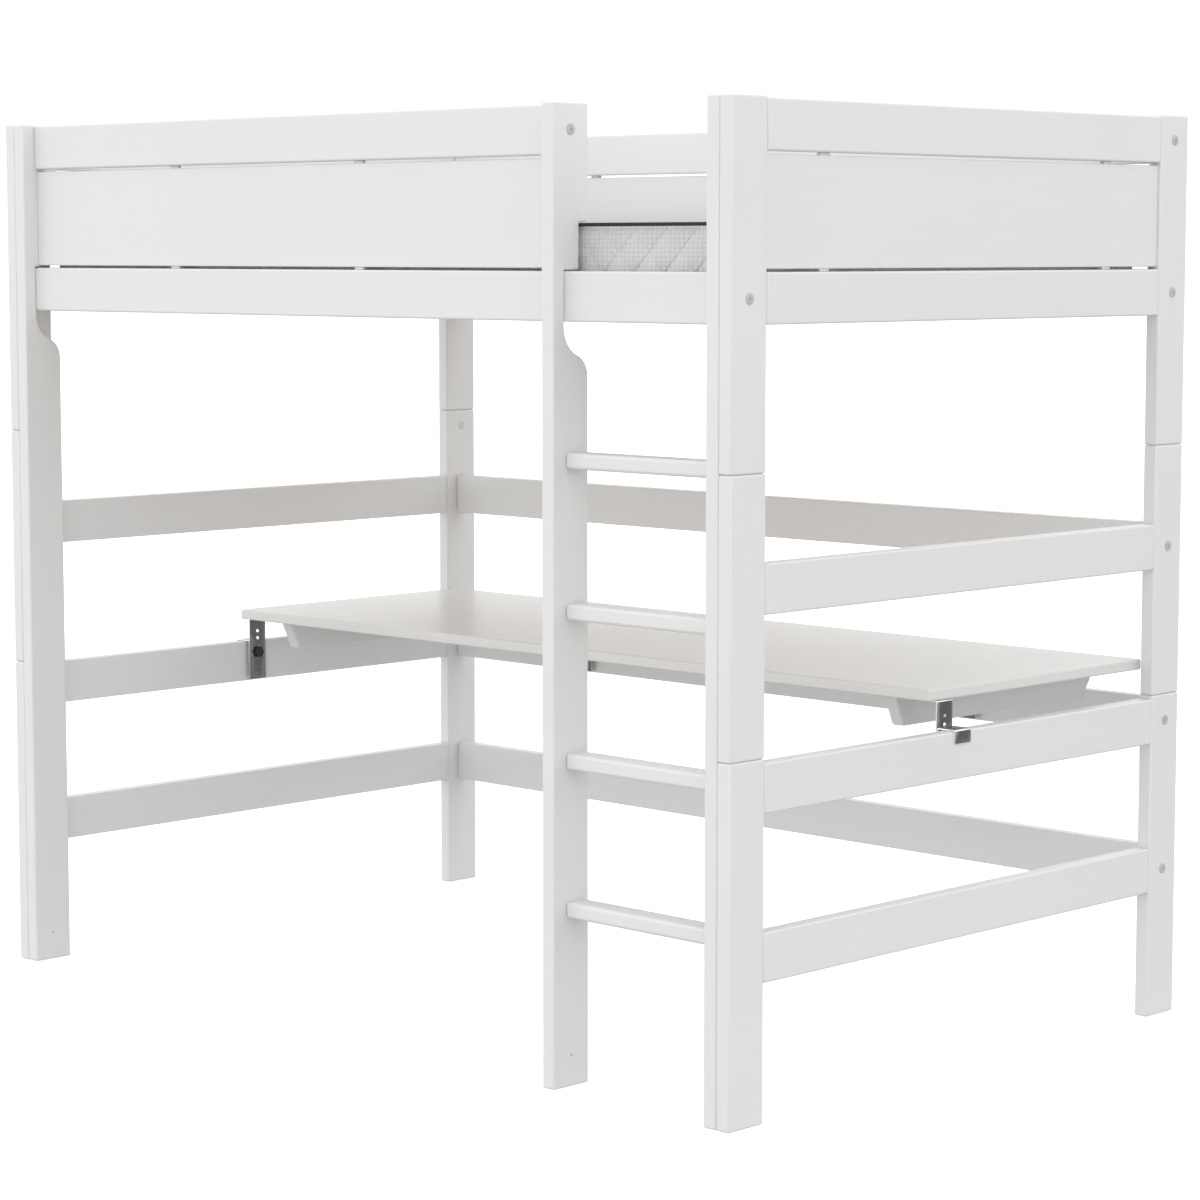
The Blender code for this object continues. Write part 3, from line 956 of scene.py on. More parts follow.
@dataclass
class DeskBrackets:
    """The four hanging brackets: a perforated plate, a hook, a lobed knob and its nut.

    Each is shaped with +X pointing out to its rail and the plate's outer face at X = 0.
    """

    shop: Carpentry
    finishes: Finishes
    sheet: float = 0.003
    bend: float = 0.0006
    hole_radius: float = 0.0038
    hole_pitch: float = 0.0161
    hole_count: int = 7
    slot_travel: float = 0.0115
    lobes: int = 6
    valley: float = 0.0022
    nut_radius: float = 0.0075
    nut_height: float = 0.0030
    lip_drop: float = 0.0258
    stud_length: float = 0.0105
    stud_radius: float = 0.0034
    stud_rim: float = 0.0006
    nut_rim: float = 0.0006
    knob_rim: float = 0.0018
    dish_inset: float = 0.0009
    dish_depth: float = 0.0004
    boss_share: float = 0.36
    boss_rim: float = 0.0003
    slot_steps: int = 12
    hole_face: float = 0.00002

    def paint_edge_highlights(self, piece: Object) -> None:
        """Give the cut edges, the bends and the walls of the holes a near-white steel: a painted highlight
        where they catch light.

        Args:
            piece: The bent sheet, in its own axes.
        """
        piece.data.materials.append(self.finishes.edge_highlight_steel)
        for face in piece.data.polygons:
            out, along, up = (abs(part) for part in face.normal)
            bent = out > 0.17 and up > 0.17
            near_axis = abs(face.center.y) < self.hole_radius * 1.05
            in_hole = out < 0.5 and near_axis and face.area < self.hole_face
            if along > 0.7 or bent or in_hole:
                face.material_index = 1

    def placement(self, place: str) -> Matrix:
        """Return the matrix that takes a bracket from its own axes to its place.

        Args:
            place: The bracket's place on the bed.

        Returns:
            The matrix.
        """
        low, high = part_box(f"bracket_plate_{place}")
        middle = (low + high) / 2
        if place == "right":
            return Matrix.Translation((high.x, middle.y, 0.0))
        if place == "left":
            return Matrix.Translation((low.x, middle.y, 0.0)) @ Matrix.Rotation(math.pi, 4, "Z")
        return Matrix.Translation((middle.x, high.y, 0.0)) @ Matrix.Rotation(math.pi / 2, 4, "Z")

    def knob_height(self, place: str) -> float:
        """Return the height of the knob's axis."""
        low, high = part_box(f"star_knob_{place}")
        return (low.z + high.z) / 2

    def plate(self, place: str, matrix: Matrix) -> None:
        """Build the perforated angle.

        Args:
            place: The bracket's place on the bed.
            matrix: What takes it there.
        """
        low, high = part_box(f"bracket_plate_{place}")
        width, flange = sorted((high.x - low.x, high.y - low.y), reverse=True)
        knob = self.knob_height(place)
        corners = [
            Corner(0.0, low.z),
            Corner(0.0, high.z, self.bend + self.sheet),
            Corner(-flange, high.z),
            Corner(-flange, high.z - self.sheet),
            Corner(-self.sheet, high.z - self.sheet, self.bend),
            Corner(-self.sheet, low.z),
        ]
        name = f"bracket_plate_{place}"
        bm = bent_sheet(corners, width)
        piece = self.shop.piece(f"{name}_sheet", bm, self.finishes.steel, Shading.BY_ANGLE)
        holes = bmesh.new()
        for index in range(self.hole_count):
            height = knob + self.hole_pitch * (self.hole_count // 2 - index)
            start = Vector((-2 * self.sheet, 0.0, height))
            absorb(holes, rod(self.hole_radius, start, start + Vector((3 * self.sheet, 0.0, 0.0))))
        cut(piece, holes)
        self.paint_edge_highlights(piece)
        piece.data.transform(matrix)
        piece.data.set_sharp_from_angle(angle=CREASE)
        self.shop.stand_for(piece, name)

    def hook(self, place: str, matrix: Matrix) -> None:
        """Build the strip that hooks over the rail, with the slot in its hidden leg.

        Args:
            place: The bracket's place on the bed.
            matrix: What takes it there.
        """
        name = f"bracket_hook_{place}"
        low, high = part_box(name)
        reach, width = sorted((high.x - low.x, high.y - low.y))
        knob = self.knob_height(place)
        inner, outer = SKIN, SKIN + reach
        lip = high.z - self.lip_drop
        corners = [
            Corner(inner, low.z),
            Corner(inner + self.sheet, low.z),
            Corner(inner + self.sheet, high.z - self.sheet, self.bend),
            Corner(outer - self.sheet, high.z - self.sheet, self.bend),
            Corner(outer - self.sheet, lip),
            Corner(outer, lip),
            Corner(outer, high.z, self.bend + self.sheet),
            Corner(inner, high.z, self.bend + self.sheet),
        ]
        bm = bent_sheet(corners, width)
        piece = self.shop.piece(f"{name}_strip", bm, self.finishes.steel, Shading.BY_ANGLE)
        slot = bmesh.new()
        axis = Vector((1.0, 0.0, 0.0))
        start = -self.sheet
        top, bottom = knob + self.slot_travel, knob - self.slot_travel
        for centre, side in ((top, self.hole_radius), (bottom, -self.hole_radius)):
            middle = Vector((start, 0.0, centre))
            sweep_vertex(slot, middle + Vector((0.0, side, 0.0)), middle, axis, 180.0, self.slot_steps)
        joined_in_order(slot, 0)
        thicken(slot, Vector((3 * self.sheet, 0.0, 0.0)))
        cut(piece, slot)
        self.paint_edge_highlights(piece)
        piece.data.transform(matrix)
        piece.data.set_sharp_from_angle(angle=CREASE)
        self.shop.stand_for(piece, name)

    def knob(self, place: str, matrix: Matrix) -> None:
        """Build the lobed knob with its dished cap and its stud.

        Args:
            place: The bracket's place on the bed.
            matrix: What takes it there.
        """
        name = f"star_knob_{place}"
        low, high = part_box(name)
        length, across = sorted((high.x - low.x, high.y - low.y))
        radius = across / 2
        height = self.knob_height(place)
        thick = length - self.stud_length
        base = -self.sheet - 2 * SKIN
        bm = bmesh.new()
        turn = Matrix.Translation((base, 0.0, height)) @ Matrix.Rotation(-math.pi / 2, 4, "Y")
        bmesh.ops.create_circle(bm, cap_ends=True, segments=12 * self.lobes, radius=radius, matrix=turn)
        for vert in bm.verts:
            arm = vert.co - Vector((base, 0.0, height))
            angle = math.atan2(arm.z, arm.y)
            depth = self.valley * (1 - math.cos(self.lobes * angle)) / 2
            vert.co -= arm.normalized() * depth
        thicken(bm, Vector((-thick, 0.0, 0.0)))
        rim = [edge for edge in bm.edges if all(v.co.x < base - thick / 2 for v in edge.verts)]
        round_edges(bm, rim, self.knob_rim, 4)
        face = max((f for f in bm.faces if f.normal.x < -0.9), key=lambda f: f.calc_area())
        bmesh.ops.inset_region(bm, faces=[face], thickness=self.dish_inset, depth=-self.dish_depth)
        inside, face_middle = Vector((base - thick * 0.5, 0.0, height)), Vector((base - thick, 0.0, height))
        boss = rod(radius * self.boss_share, inside, face_middle)
        round_edges(boss, sharp_edges(boss, SHARP), self.boss_rim, 2)
        absorb(bm, boss)
        piece = self.shop.piece(f"{name}_cap", bm, self.finishes.knob, Shading.BY_ANGLE)
        piece.data.transform(matrix)
        self.shop.stand_for(piece, name)
        root, tip = Vector((base, 0.0, height)), Vector((base + self.stud_length, 0.0, height))
        stud = rod(self.stud_radius, root, tip, 24)
        round_edges(stud, sharp_edges(stud, SHARP), self.stud_rim, 2)
        shaft = self.shop.piece(f"{name}_stud", stud, self.finishes.bright_steel, Shading.BY_ANGLE)
        shaft.data.transform(matrix)
        self.shop.add_to(shaft, name, "zinc_steel")

    def nut(self, place: str, matrix: Matrix) -> None:
        """Build the hexagon nut that the stud screws into behind the hook's leg.

        Args:
            place: The bracket's place on the bed.
            matrix: What takes it there.
        """
        height = self.knob_height(place)
        start = Vector((self.sheet + 2 * SKIN, 0.0, height))
        bm = rod(self.nut_radius, start, start + Vector((self.nut_height, 0.0, 0.0)), 6)
        round_edges(bm, list(bm.edges), self.nut_rim, 2)
        piece = self.shop.piece(f"bracket_nut_{place}", bm, self.finishes.bright_steel, Shading.BY_ANGLE)
        piece.data.transform(matrix)
        self.shop.add_to(piece, f"bracket_plate_{place}", "zinc_steel")

    def build(self) -> None:
        """Build all four brackets."""
        for place in ("right", "left", "rear_right", "rear_left"):
            matrix = self.placement(place)
            self.plate(place, matrix)
            self.hook(place, matrix)
            self.knob(place, matrix)
            self.nut(place, matrix)


@dataclass
class Fasteners:
    """Bolt heads, plugs and screws that show on the boards."""

    shop: Carpentry
    finishes: Finishes
    bolt_radius: float = 0.0100
    bolt_height: float = 0.0014
    socket_radius: float = 0.0029
    screw_radius: float = 0.0040
    plug_radius: float = 0.0095
    plug_drop: float = 0.036
    rim_share: float = 0.7
    most_rim: float = 0.001
    mouth_share: float = 0.45
    sink_share: float = 0.8
    sink: float = 0.0004
    plug_height: float = 0.0008
    plug_shift: float = 0.002
    screw_height: float = 0.0007
    screw_socket: float = 0.0021
    flange_screw_height: float = 0.0016
    flange_screw_shift: float = 0.013
    flange_sheet: float = 0.003
    flush: float = 0.002
    ledger_screws: int = 8
    ledger_inset: float = 0.07
    batten_screws: int = 4
    batten_inset: float = 0.09

    def head(self, at: Vector, facing: Vector, radius: float, height: float, socket: float) -> BMesh:
        """Return a low round head with a hexagon socket, or a plain plug where the socket is 0.

        Args:
            at: The middle of the head's seat, on the board's face.
            facing: The direction out of the face.
            radius: The head's radius.
            height: How far it stands proud.
            socket: The socket's radius to its corners.

        Returns:
            The shape.
        """
        bm = bmesh.new()
        bmesh.ops.create_circle(bm, cap_ends=True, segments=36, radius=radius)
        thicken(bm, Vector((0.0, 0.0, height)))
        rim = [edge for edge in bm.edges if all(v.co.z > height / 2 for v in edge.verts)]
        round_edges(bm, rim, min(height * self.rim_share, self.most_rim), 3)
        if socket > 0.0:
            top = max(bm.faces, key=lambda f: (round(f.calc_center_median().z, 6), f.calc_area()))
            bmesh.ops.inset_region(bm, faces=[top], thickness=radius * self.mouth_share, depth=0.0)
            self.hexagon(top, socket)
            bottom = bmesh.ops.extrude_discrete_faces(bm, faces=[top])["faces"][0]
            sink = Vector((0.0, 0.0, -self.sink_share * height - self.sink))
            bmesh.ops.translate(bm, verts=list(bottom.verts), vec=sink)
            bmesh.ops.bridge_loops(bm, edges=[edge for edge in bm.edges if len(edge.link_faces) < 2])
        matrix = Matrix.Translation(at) @ facing.to_track_quat("Z", "Y").to_matrix().to_4x4()
        bmesh.ops.transform(bm, matrix=matrix, verts=bm.verts)
        return bm

    def bolt(self, at: Vector, facing: Vector) -> BMesh:
        """Return the head of a connecting bolt."""
        return self.head(at, facing, self.bolt_radius, self.bolt_height, self.socket_radius)

    def hexagon(self, face: BMFace, radius: float) -> None:
        """Pull a face's corners on to a hexagon round Z.

        Args:
            face: The face.
            radius: The hexagon's radius to its corners.
        """
        for vert in face.verts:
            angle = math.atan2(vert.co.y, vert.co.x) % (math.pi / 3)
            reach = radius * math.cos(math.pi / 6) / math.cos(angle - math.pi / 6)
            scale = reach / vert.co.xy.length
            vert.co.x *= scale
            vert.co.y *= scale

    def place(self, name: str, node: str, heads: list[BMesh], finish: Material, slot: str) -> None:
        """Join heads into one piece that rides with a node.

        Args:
            name: The piece's name.
            node: The node.
            heads: The heads, which are freed.
            finish: Their finish.
            slot: Their material slot.
        """
        bm = bmesh.new()
        for head in heads:
            absorb(bm, head)
        piece = self.shop.piece(name, bm, finish, Shading.BY_ANGLE)
        self.shop.add_to(piece, node, slot)

    def rail_bolts(self) -> None:
        """Put a bolt through each post into the end of every long rail."""
        for end in ("left", "right"):
            side = 1.0 if end == "right" else -1.0
            for row in ("front", "rear"):
                low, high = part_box(f"post_{row}_{end}_upper")
                face = high.x if side > 0 else low.x
                middle = (low.y + high.y) / 2
                heads = []
                for rail in sorted(self.shop.body_of):
                    if not (rail.startswith(row) and rail.endswith("_rail")):
                        continue
                    bottom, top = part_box(rail)
                    inner_face = low.x if side > 0 else high.x
                    if abs(side * inner_face - max(side * top.x, side * bottom.x)) < self.flush:
                        at = Vector((face + side * SKIN / 2, middle, (bottom.z + top.z) / 2))
                        facing = Vector((side, 0.0, 0.0))
                        heads.append(self.bolt(at, facing))
                name = f"post_{row}_{end}_bolts"
                self.place(name, f"post_{row}_{end}_upper", heads, self.finishes.bolt, "zinc_steel")

    def guard_bolt(self) -> None:
        """Put the bolt through the ladder's left upright into the front guard rail."""
        low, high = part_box("upright_ladder_left")
        bottom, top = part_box("front_guard_rail")
        at = Vector((high.x + SKIN / 2, (bottom.y + top.y) / 2, (bottom.z + top.z) / 2))
        head = self.bolt(at, Vector((1.0, 0.0, 0.0)))
        self.place("guard_rail_bolt", "upright_ladder_left", [head], self.finishes.bolt, "zinc_steel")

    def post_plugs(self) -> None:
        """Close the bore of each rear post's upper joint with a plug."""
        for end in ("left", "right"):
            side = 1.0 if end == "right" else -1.0
            low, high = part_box(f"post_rear_{end}_middle")
            face = low.x if side > 0 else high.x
            middle = (low.y + high.y) / 2 + self.plug_shift
            at = Vector((face - side * SKIN / 2, middle, high.z - self.plug_drop))
            head = self.head(at, Vector((-side, 0.0, 0.0)), self.plug_radius, self.plug_height, 0.0)
            name = f"post_rear_{end}_plug"
            self.place(name, f"post_rear_{end}_middle", [head], self.finishes.cap, "white_lacquer")

    def row(self, node: str, count: int, facing: Vector, inset: float) -> list[BMesh]:
        """Return screw heads spread along a node's longest side.

        Args:
            node: The node.
            count: How many.
            facing: The direction out of the face they sit in.
            inset: How far the outer ones are from its ends.

        Returns:
            The heads.
        """
        low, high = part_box(node)
        middle = (low + high) / 2
        size = high - low
        run = list(size).index(max(size))
        heads = []
        for index in range(count):
            at = middle + Vector(tuple(f * s / 2 for f, s in zip(facing, size)))
            at[run] = low[run] + inset + (size[run] - 2 * inset) * index / (count - 1)
            heads.append(self.head(at, facing, self.screw_radius, self.screw_height, self.screw_socket))
        return heads

    def screws(self) -> None:
        """Screw the ledgers to the bed rails and the battens to the desk."""
        for node, facing in (("ledger_front", Vector((0, 1, 0))), ("ledger_rear", Vector((0, -1, 0)))):
            heads = self.row(node, self.ledger_screws, facing, self.ledger_inset)
            self.place(f"{node}_screws", node, heads, self.finishes.bright_steel, "zinc_steel")
        for node in ("desk_batten_left", "desk_batten_right"):
            heads = self.row(node, self.batten_screws, Vector((0, 0, -1)), self.batten_inset)
            self.place(f"{node}_screws", node, heads, self.finishes.bright_steel, "zinc_steel")
        for place in ("left", "right", "rear_left", "rear_right"):
            self.flange_screws(place)

    def flange_screws(self, place: str) -> None:
        """Screw one bracket's flange up into the desk.

        Args:
            place: The bracket's place on the bed.
        """
        node = f"bracket_plate_{place}"
        low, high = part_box(node)
        middle = (low + high) / 2
        under = high.z - self.flange_sheet
        heads = []
        for shift in (-self.flange_screw_shift, self.flange_screw_shift):
            along = Vector((shift, 0.0, 0.0)) if place.startswith("rear") else Vector((0.0, shift, 0.0))
            at = Vector((middle.x, middle.y, under)) + along
            down = Vector((0.0, 0.0, -1.0))
            heads.append(self.head(at, down, self.screw_radius, self.flange_screw_height, self.screw_socket))
        self.place(f"{node}_screws", node, heads, self.finishes.bright_steel, "zinc_steel")

    def build(self) -> None:
        """Place every visible fastener."""
        self.rail_bolts()
        self.guard_bolt()
        self.post_plugs()
        self.screws()


@dataclass
class BedBase:
    """The ledgers, and the slats with the webbing that spaces them."""

    shop: Carpentry
    finishes: Finishes
    slat_count: int = 14
    slat_width: float = 0.070
    slat_radius: float = 0.0030
    strap_width: float = 0.030
    strap_y: float = 0.400
    strap_drop: float = 0.002
    strap_inset: float = 0.010
    strap_rim: float = 0.0006
    staple: Triple = (0.0006, 0.0055, 0.0004)
    staple_rim: float = 0.0003

    def pitch(self) -> float:
        """Return the distance from one slat to the next."""
        low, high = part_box("slatted_base")
        return (high.x - low.x - self.slat_width) / (self.slat_count - 1)

    def slats(self) -> None:
        """Build the slats as one piece of separate boards."""
        low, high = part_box("slatted_base")
        bm = bmesh.new()
        for index in range(self.slat_count):
            left = low.x + self.pitch() * index
            start = Vector((left, low.y, low.z + self.strap_drop))
            absorb(bm, block(start, Vector((left + self.slat_width, high.y, high.z)), self.slat_radius, 3))
        piece = self.shop.piece("slatted_base_slats", bm, self.finishes.pine[Grain.DEPTH], Shading.EASED)
        self.shop.stand_for(piece, "slatted_base")

    def straps(self) -> None:
        """Build the two webbing straps under the slats, stapled to each."""
        low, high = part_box("slatted_base")
        half = Vector(self.staple)
        for name, side in (("front", -1.0), ("rear", 1.0)):
            middle = side * self.strap_y
            start = Vector((low.x + self.strap_inset, middle - self.strap_width / 2, low.z))
            end = Vector((high.x - self.strap_inset, middle + self.strap_width / 2, low.z + self.strap_drop))
            bm = block(start, end, self.strap_rim, 2)
            strap = self.shop.piece(f"slat_strap_{name}", bm, self.finishes.strap, Shading.EASED)
            self.shop.add_to(strap, "slatted_base", "mattress_cover")
            wires = bmesh.new()
            for index in range(self.slat_count):
                along = low.x + self.pitch() * index + self.slat_width / 2
                at = Vector((along, middle, low.z - half.z))
                absorb(wires, block(at - half, at + half, self.staple_rim, 2))
            steel = self.finishes.bright_steel
            staples = self.shop.piece(f"slat_staples_{name}", wires, steel, Shading.BY_ANGLE)
            self.shop.add_to(staples, "slatted_base", "zinc_steel")

    def ledgers(self) -> None:
        """Build the two ledgers."""
        for node in ("ledger_front", "ledger_rear"):
            low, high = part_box(node)
            bm = block(low, high, self.slat_radius, 3)
            piece = self.shop.piece(f"{node}_board", bm, self.finishes.pine[Grain.LENGTH], Shading.EASED)
            self.shop.stand_for(piece, node)

    def build(self) -> None:
        """Build the base."""
        self.slats()
        self.straps()
        self.ledgers()


@dataclass
class Mattress:
    """The mattress: a puffed and quilted cover with a dark tape round its upper edge."""

    shop: Carpentry
    finishes: Finishes
    corner_radius: float = 0.036
    edge_radius: float = 0.013
    slack: float = 0.0020
    voxel: float = 0.0155
    most_puff: float = 0.0055
    pressure: float = 4.0
    last_step: int = 14
    quilt: float = 0.074
    quilt_shift: float = -0.0105
    stitch_width: float = 0.0130
    stitch_depths: Span = (0.0026, 0.0013)
    tape_height: float = 0.0066
    tape_depth: float = 0.0040
    tape_drop: float = 0.0003
    tape_proud: float = 0.0004
    tape_rim: float = 0.0013
    fill: float = 0.9
    CLOTH = {
        "quality": 4,
        "mass": 0.3,
        "tension_stiffness": 12.0,
        "compression_stiffness": 12.0,
        "shear_stiffness": 4.0,
        "bending_stiffness": 0.8,
        "use_pressure": True,
    }

    def pad(self) -> Object:
        """Return the plain pad with rounded corners, a little smaller than its place.

        Returns:
            The pad.
        """
        low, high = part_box("mattress")
        inset = Vector((self.slack, self.slack, self.slack / 3))
        bm = bmesh.new()
        size = high - low - 2 * inset
        matrix = Matrix.Translation((low + high) / 2) @ Matrix.Diagonal((*size, 1.0))
        bmesh.ops.create_cube(bm, size=1.0, matrix=matrix)
        upright = [e for e in bm.edges if abs(e.verts[0].co.z - e.verts[1].co.z) > self.edge_radius]
        round_edges(bm, upright, self.corner_radius, 10)
        round_edges(bm, sharp_edges(bm, SHARP), self.edge_radius, 4)
        return self.shop.piece("mattress_cover", bm, self.finishes.knit, Shading.SMOOTH)

    def settle(self, obj: Object, kind: str, **settings: object) -> None:
        """Add one modifier and apply it.

        Args:
            obj: The object.
            kind: The modifier's Blender type.
            **settings: Attributes to set on it.
        """
        modifier = obj.modifiers.new(kind.lower(), kind)
        for name, value in settings.items():
            setattr(modifier, name, value)
        bake(obj)

    def puff(self, obj: Object) -> None:
        """Inflate the cover as cloth for a few steps, and hold how far any point moves.

        Args:
            obj: The cover.
        """
        still = [v.co.copy() for v in obj.data.vertices]
        cloth = obj.modifiers.new("cover", "CLOTH")
        for name, value in self.CLOTH.items():
            setattr(cloth.settings, name, value)
        cloth.settings.uniform_pressure_force = self.pressure
        cloth.settings.effector_weights.gravity = 0.0
        cloth.collision_settings.use_collision = False
        cloth.point_cache.frame_start = 1
        cloth.point_cache.frame_end = self.last_step
        for step in range(1, self.last_step + 1):
            bpy.context.scene.frame_set(step)
        bake(obj)
        for vert, rest in zip(obj.data.vertices, still):
            move = vert.co - rest
            if move.length > self.most_puff:
                vert.co = rest + move.normalized() * self.most_puff
        bpy.context.scene.frame_set(1)

    def groove(self, distance: float, depth: float) -> float:
        """Return how deep a stitch line pulls the cover in at a distance from it."""
        return depth * math.exp(-((distance / self.stitch_width) ** 2))

    def stitch_pull(self, along: float, across: float) -> float:
        """Return how far the diamond stitching pulls in a point of a flat side.

        Args:
            along: Where the point is along the side.
            across: Where it is across it.

        Returns:
            The depth in metres.
        """
        spacing = self.quilt / math.sqrt(2)
        pull = 0.0
        for line, depth in zip((along - across, along + across), self.stitch_depths):
            turn = (line - self.quilt_shift) / self.quilt
            pull += self.groove(abs(turn - round(turn)) * spacing, depth)
        return pull

    def quilt_cover(self, obj: Object) -> None:
        """Sew the diamond quilting into the cover, and keep it inside its place.

        Args:
            obj: The cover.
        """
        low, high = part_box("mattress")
        normals = [vert.normal.copy() for vert in obj.data.vertices]
        for vert, normal in zip(obj.data.vertices, normals):
            co = vert.co
            if abs(normal.z) > 0.7:
                pull = self.stitch_pull(co.x, co.y) if normal.z > 0 else 0.0
            elif abs(normal.y) > abs(normal.x):
                pull = self.stitch_pull(co.x, co.z)
            else:
                pull = self.stitch_pull(co.y, co.z)
            moved = co - normal * pull
            vert.co = Vector(tuple(min(max(m, a), b) for m, a, b in zip(moved, low, high)))

    def flatten(self, obj: Object) -> None:
        """Map every side of the cover straight on, so that the stitching runs true on each.

        Args:
            obj: The cover.
        """
        mesh = obj.data
        flat = mesh.uv_layers.new(name="sides").data
        for face in mesh.polygons:
            size = [abs(part) for part in face.normal]
            axes = {0: (1, 2), 1: (0, 2), 2: (0, 1)}[size.index(max(size))]
            for loop in face.loop_indices:
                co = mesh.vertices[mesh.loops[loop].vertex_index].co
                flat[loop].uv = (co[axes[0]], co[axes[1]])

    def tape(self) -> None:
        """Build the dark tape that binds the cover's upper edge."""
        low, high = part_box("mattress")
        top = high.z - self.tape_drop
        bm = bmesh.new()
        proud = 2 * self.tape_proud
        size = Vector((high.x - low.x + proud, high.y - low.y + proud, 1.0))
        middle = (low + high) / 2
        place = Matrix.Translation((middle.x, middle.y, top - self.tape_height))
        matrix = place @ Matrix.Diagonal((*size, 1.0))
        bmesh.ops.create_grid(bm, x_segments=1, y_segments=1, size=0.5, matrix=matrix)
        bmesh.ops.bevel(
            bm, geom=list(bm.verts), offset=self.corner_radius, offset_type="OFFSET", segments=16,
            profile=0.5, affect="VERTICES", clamp_overlap=True, material=-1,
        )
        inner = list(bm.faces)
        bmesh.ops.inset_region(
            bm, faces=inner, thickness=self.tape_depth, depth=0.0, use_even_offset=True, use_boundary=True,
        )
        bmesh.ops.delete(bm, geom=inner, context="FACES_ONLY")
        thicken(bm, Vector((0.0, 0.0, self.tape_height)))
        round_edges(bm, sharp_edges(bm, SHARP), self.tape_rim, 3)
        piece = self.shop.piece("mattress_edge_tape", bm, self.finishes.tape, Shading.BY_ANGLE)
        self.shop.add_to(piece, "mattress", "mattress_cover")

    def build(self) -> None:
        """Build the mattress."""
        cover = self.pad()
        self.settle(cover, "REMESH", mode="VOXEL", voxel_size=self.voxel, use_smooth_shade=True)
        self.puff(cover)
        self.settle(cover, "SUBSURF", levels=1, render_levels=1)
        self.quilt_cover(cover)
        self.flatten(cover)
        cover.data.shade_smooth()
        self.shop.stand_for(cover, "mattress")
        self.tape()


# ---------------------------------------------------------------- studio


@dataclass
class Softbox:
    """A square area light and what it is for."""

    name: str
    place: Triple
    size: float
    radiance: float
    aim: Triple = (0.0, 0.0, 0.9)

    def build(self) -> None:
        """Hang the light and point it at its aim."""
        data = bpy.data.lights.new(self.name, "AREA")
        data.shape = "SQUARE"
        data.size = self.size
        data.energy = self.radiance * math.pi * self.size ** 2
        lamp = bpy.data.objects.new(self.name, data)
        lamp.location = self.place
        away = Vector(self.aim) - Vector(self.place)
        lamp.rotation_euler = away.to_track_quat("-Z", "Y").to_euler()
        lamp.visible_camera = False
        bpy.context.scene.collection.objects.link(lamp)


@dataclass
class Card:
    """A dimmer card that gives polished metal something to mirror."""

    name: str
    place: Triple
    size: Span
    radiance: float
    aim: Triple = (0.0, 0.0, 0.6)

    def build(self) -> None:
        """Stand the card up and turn it to its aim."""
        weave = Weave(self.name)
        weave.feed(weave.shader, Base_Color=(0.0, 0.0, 0.0, 1.0), Roughness=1.0, Specular_IOR_Level=0.0)
        weave.feed(weave.shader, Emission_Color=(1.0, 1.0, 1.0, 1.0), Emission_Strength=self.radiance)
        turn = (Vector(self.aim) - Vector(self.place)).to_track_quat("Z", "Y").to_matrix().to_4x4()
        matrix = Matrix.Translation(self.place) @ turn @ Matrix.Diagonal((*self.size, 1.0, 1.0))
        bm = bmesh.new()
        bmesh.ops.create_grid(bm, x_segments=1, y_segments=1, size=0.5, matrix=matrix)
        mesh = bpy.data.meshes.new(self.name)
        bm.to_mesh(mesh)
        bm.free()
        mesh.materials.append(weave.material)
        obj = bpy.data.objects.new(self.name, mesh)
        obj.visible_camera = False
        bpy.context.scene.collection.objects.link(obj)


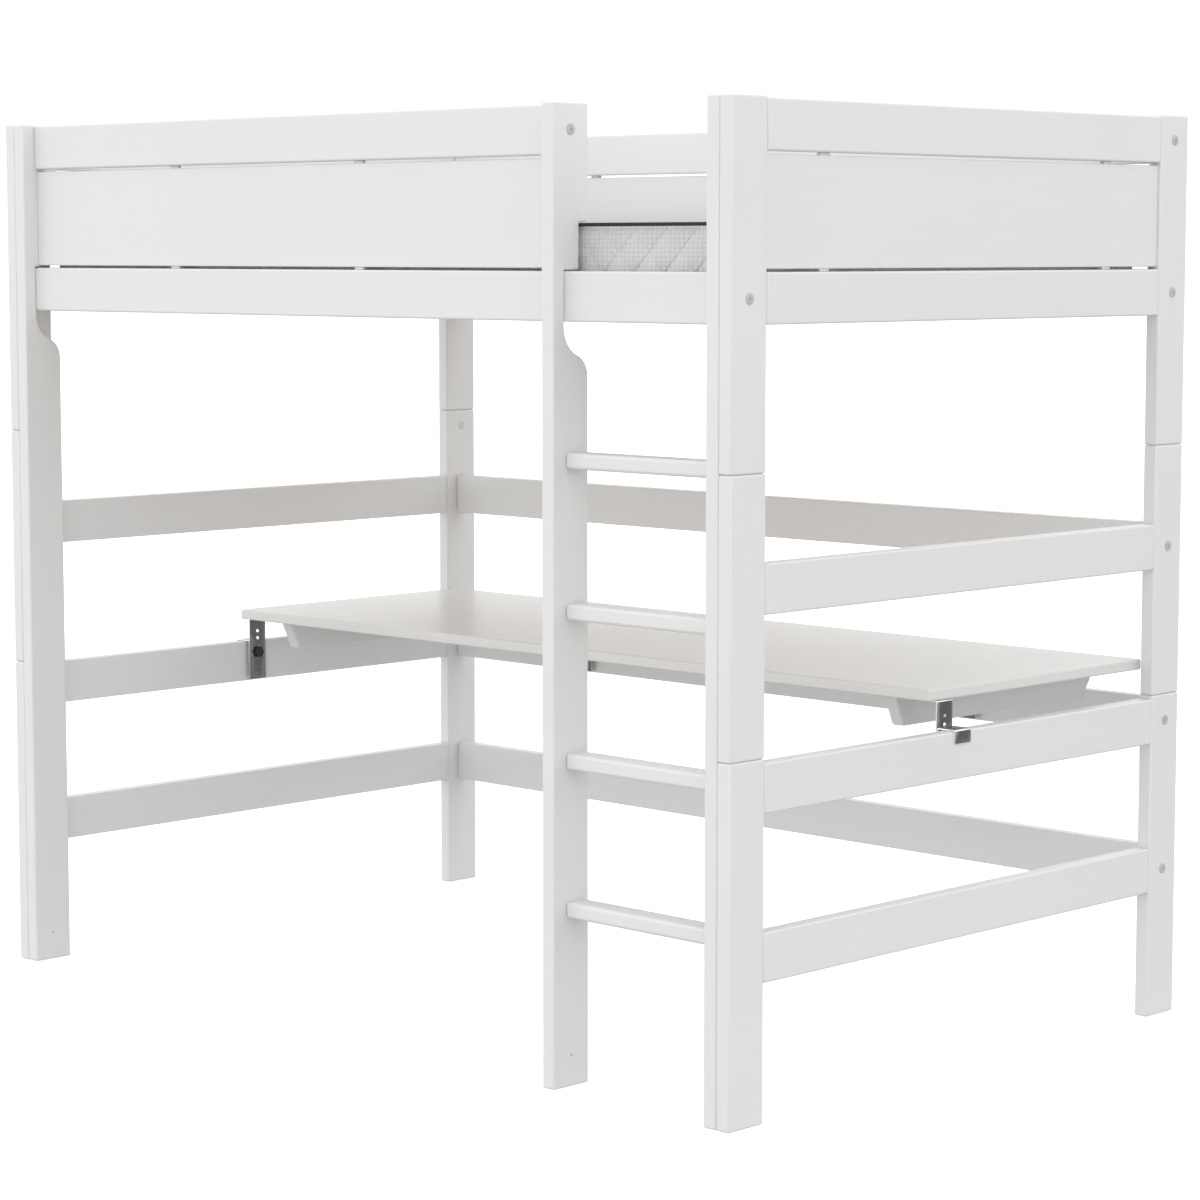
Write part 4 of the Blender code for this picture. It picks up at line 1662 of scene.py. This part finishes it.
@dataclass
class Studio:
    """A plain pale floor, soft light from all round and the camera."""

    camera_place: Triple = (4.8312, -4.8509, 1.5241)
    camera_tilt: float = 84.0
    camera_turn: float = 44.46
    lens: float = 100.0
    zenith: Triple = (1.16, 1.16, 1.16)
    horizon: Triple = (1.34, 1.34, 1.34)
    ground: Triple = (0.50, 0.495, 0.49)
    horizon_at: float = 0.275
    sky_from: float = -0.35
    floor_glow: float = 0.55
    floor_half: float = 60.0
    floor_drop: float = 0.0005
    floor_tones: Span = (0.88, 0.90)
    softboxes: list[Softbox] = field(default_factory=lambda: [
        Softbox("front_left_softbox", (-4.2, -5.2, 1.6), 2.6, 0.50),
    ])
    cards: list[Card] = field(default_factory=lambda: [
        Card("dim_card", (4.8, 5.2, 0.4), (4.2, 3.2), 0.42),
    ])

    def floor(self) -> None:
        """Lay the floor, which lights nothing but itself."""
        bm = bmesh.new()
        bmesh.ops.create_grid(bm, x_segments=1, y_segments=1, size=self.floor_half)
        mesh = bpy.data.meshes.new("floor")
        bm.to_mesh(mesh)
        bm.free()
        weave = Weave("pale_floor")
        dark, pale = ((tone, tone, tone) for tone in self.floor_tones)
        colour = weave.blend(weave.noise(weave.coordinates, 3.0), dark, pale)
        weave.feed(weave.shader, Base_Color=colour, Roughness=0.9)
        weave.feed(weave.shader, Emission_Color=(1.0, 1.0, 1.0, 1.0), Emission_Strength=self.floor_glow)
        mesh.materials.append(weave.material)
        obj = bpy.data.objects.new("floor", mesh)
        obj.location.z = -self.floor_drop
        obj.visible_diffuse = False
        obj.visible_glossy = False
        obj.visible_shadow = False
        bpy.context.scene.collection.objects.link(obj)

    def surround(self) -> None:
        """Light the scene from a pale sky over a dimmer ground."""
        world = bpy.data.worlds.new("surround")
        world.use_nodes = True
        bpy.context.scene.world = world
        tree = world.node_tree
        position = tree.nodes.new("ShaderNodeTexCoord")
        parts = tree.nodes.new("ShaderNodeSeparateXYZ")
        ramp = tree.nodes.new("ShaderNodeValToRGB")
        spread = tree.nodes.new("ShaderNodeMapRange")
        spread.inputs["From Min"].default_value = self.sky_from
        spread.inputs["From Max"].default_value = 1.0
        ramp.color_ramp.elements[0].color = (*self.ground, 1.0)
        ramp.color_ramp.elements[1].color = (*self.zenith, 1.0)
        ramp.color_ramp.elements.new(self.horizon_at).color = (*self.horizon, 1.0)
        tree.links.new(position.outputs["Generated"], parts.inputs[0])
        tree.links.new(parts.outputs["Z"], spread.inputs["Value"])
        tree.links.new(spread.outputs["Result"], ramp.inputs["Fac"])
        tree.links.new(ramp.outputs["Color"], tree.nodes["Background"].inputs["Color"])

    def camera(self) -> None:
        """Set up the camera."""
        data = bpy.data.cameras.new("camera")
        data.lens = self.lens
        data.sensor_width = 36.0
        data.clip_start = 0.1
        data.clip_end = 200.0
        obj = bpy.data.objects.new("camera", data)
        obj.location = self.camera_place
        obj.rotation_euler = (math.radians(self.camera_tilt), 0.0, math.radians(self.camera_turn))
        bpy.context.scene.collection.objects.link(obj)
        bpy.context.scene.camera = obj

    def build(self) -> None:
        """Build the studio."""
        bpy.context.scene.view_settings.view_transform = "Standard"
        self.surround()
        self.floor()
        self.camera()
        for light in (*self.softboxes, *self.cards):
            light.build()


def corners(box: tuple[Vector, Vector]) -> list[list[float]]:
    """Return a box's two corners as plain lists."""
    return [list(box[0]), list(box[1])]


def main() -> None:
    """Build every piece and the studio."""
    logging.basicConfig(level=logging.INFO, format="%(message)s")
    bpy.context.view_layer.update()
    shop = Carpentry()
    finishes = Finishes()
    for part in (
        Boards(shop, finishes),
        Uprights(shop, finishes),
        DeskBattens(shop, finishes),
        DeskBrackets(shop, finishes),
        Fasteners(shop, finishes),
        BedBase(shop, finishes),
        Mattress(shop, finishes),
    ):
        part.build()
    Studio().build()


if __name__ == "__main__":
    main()
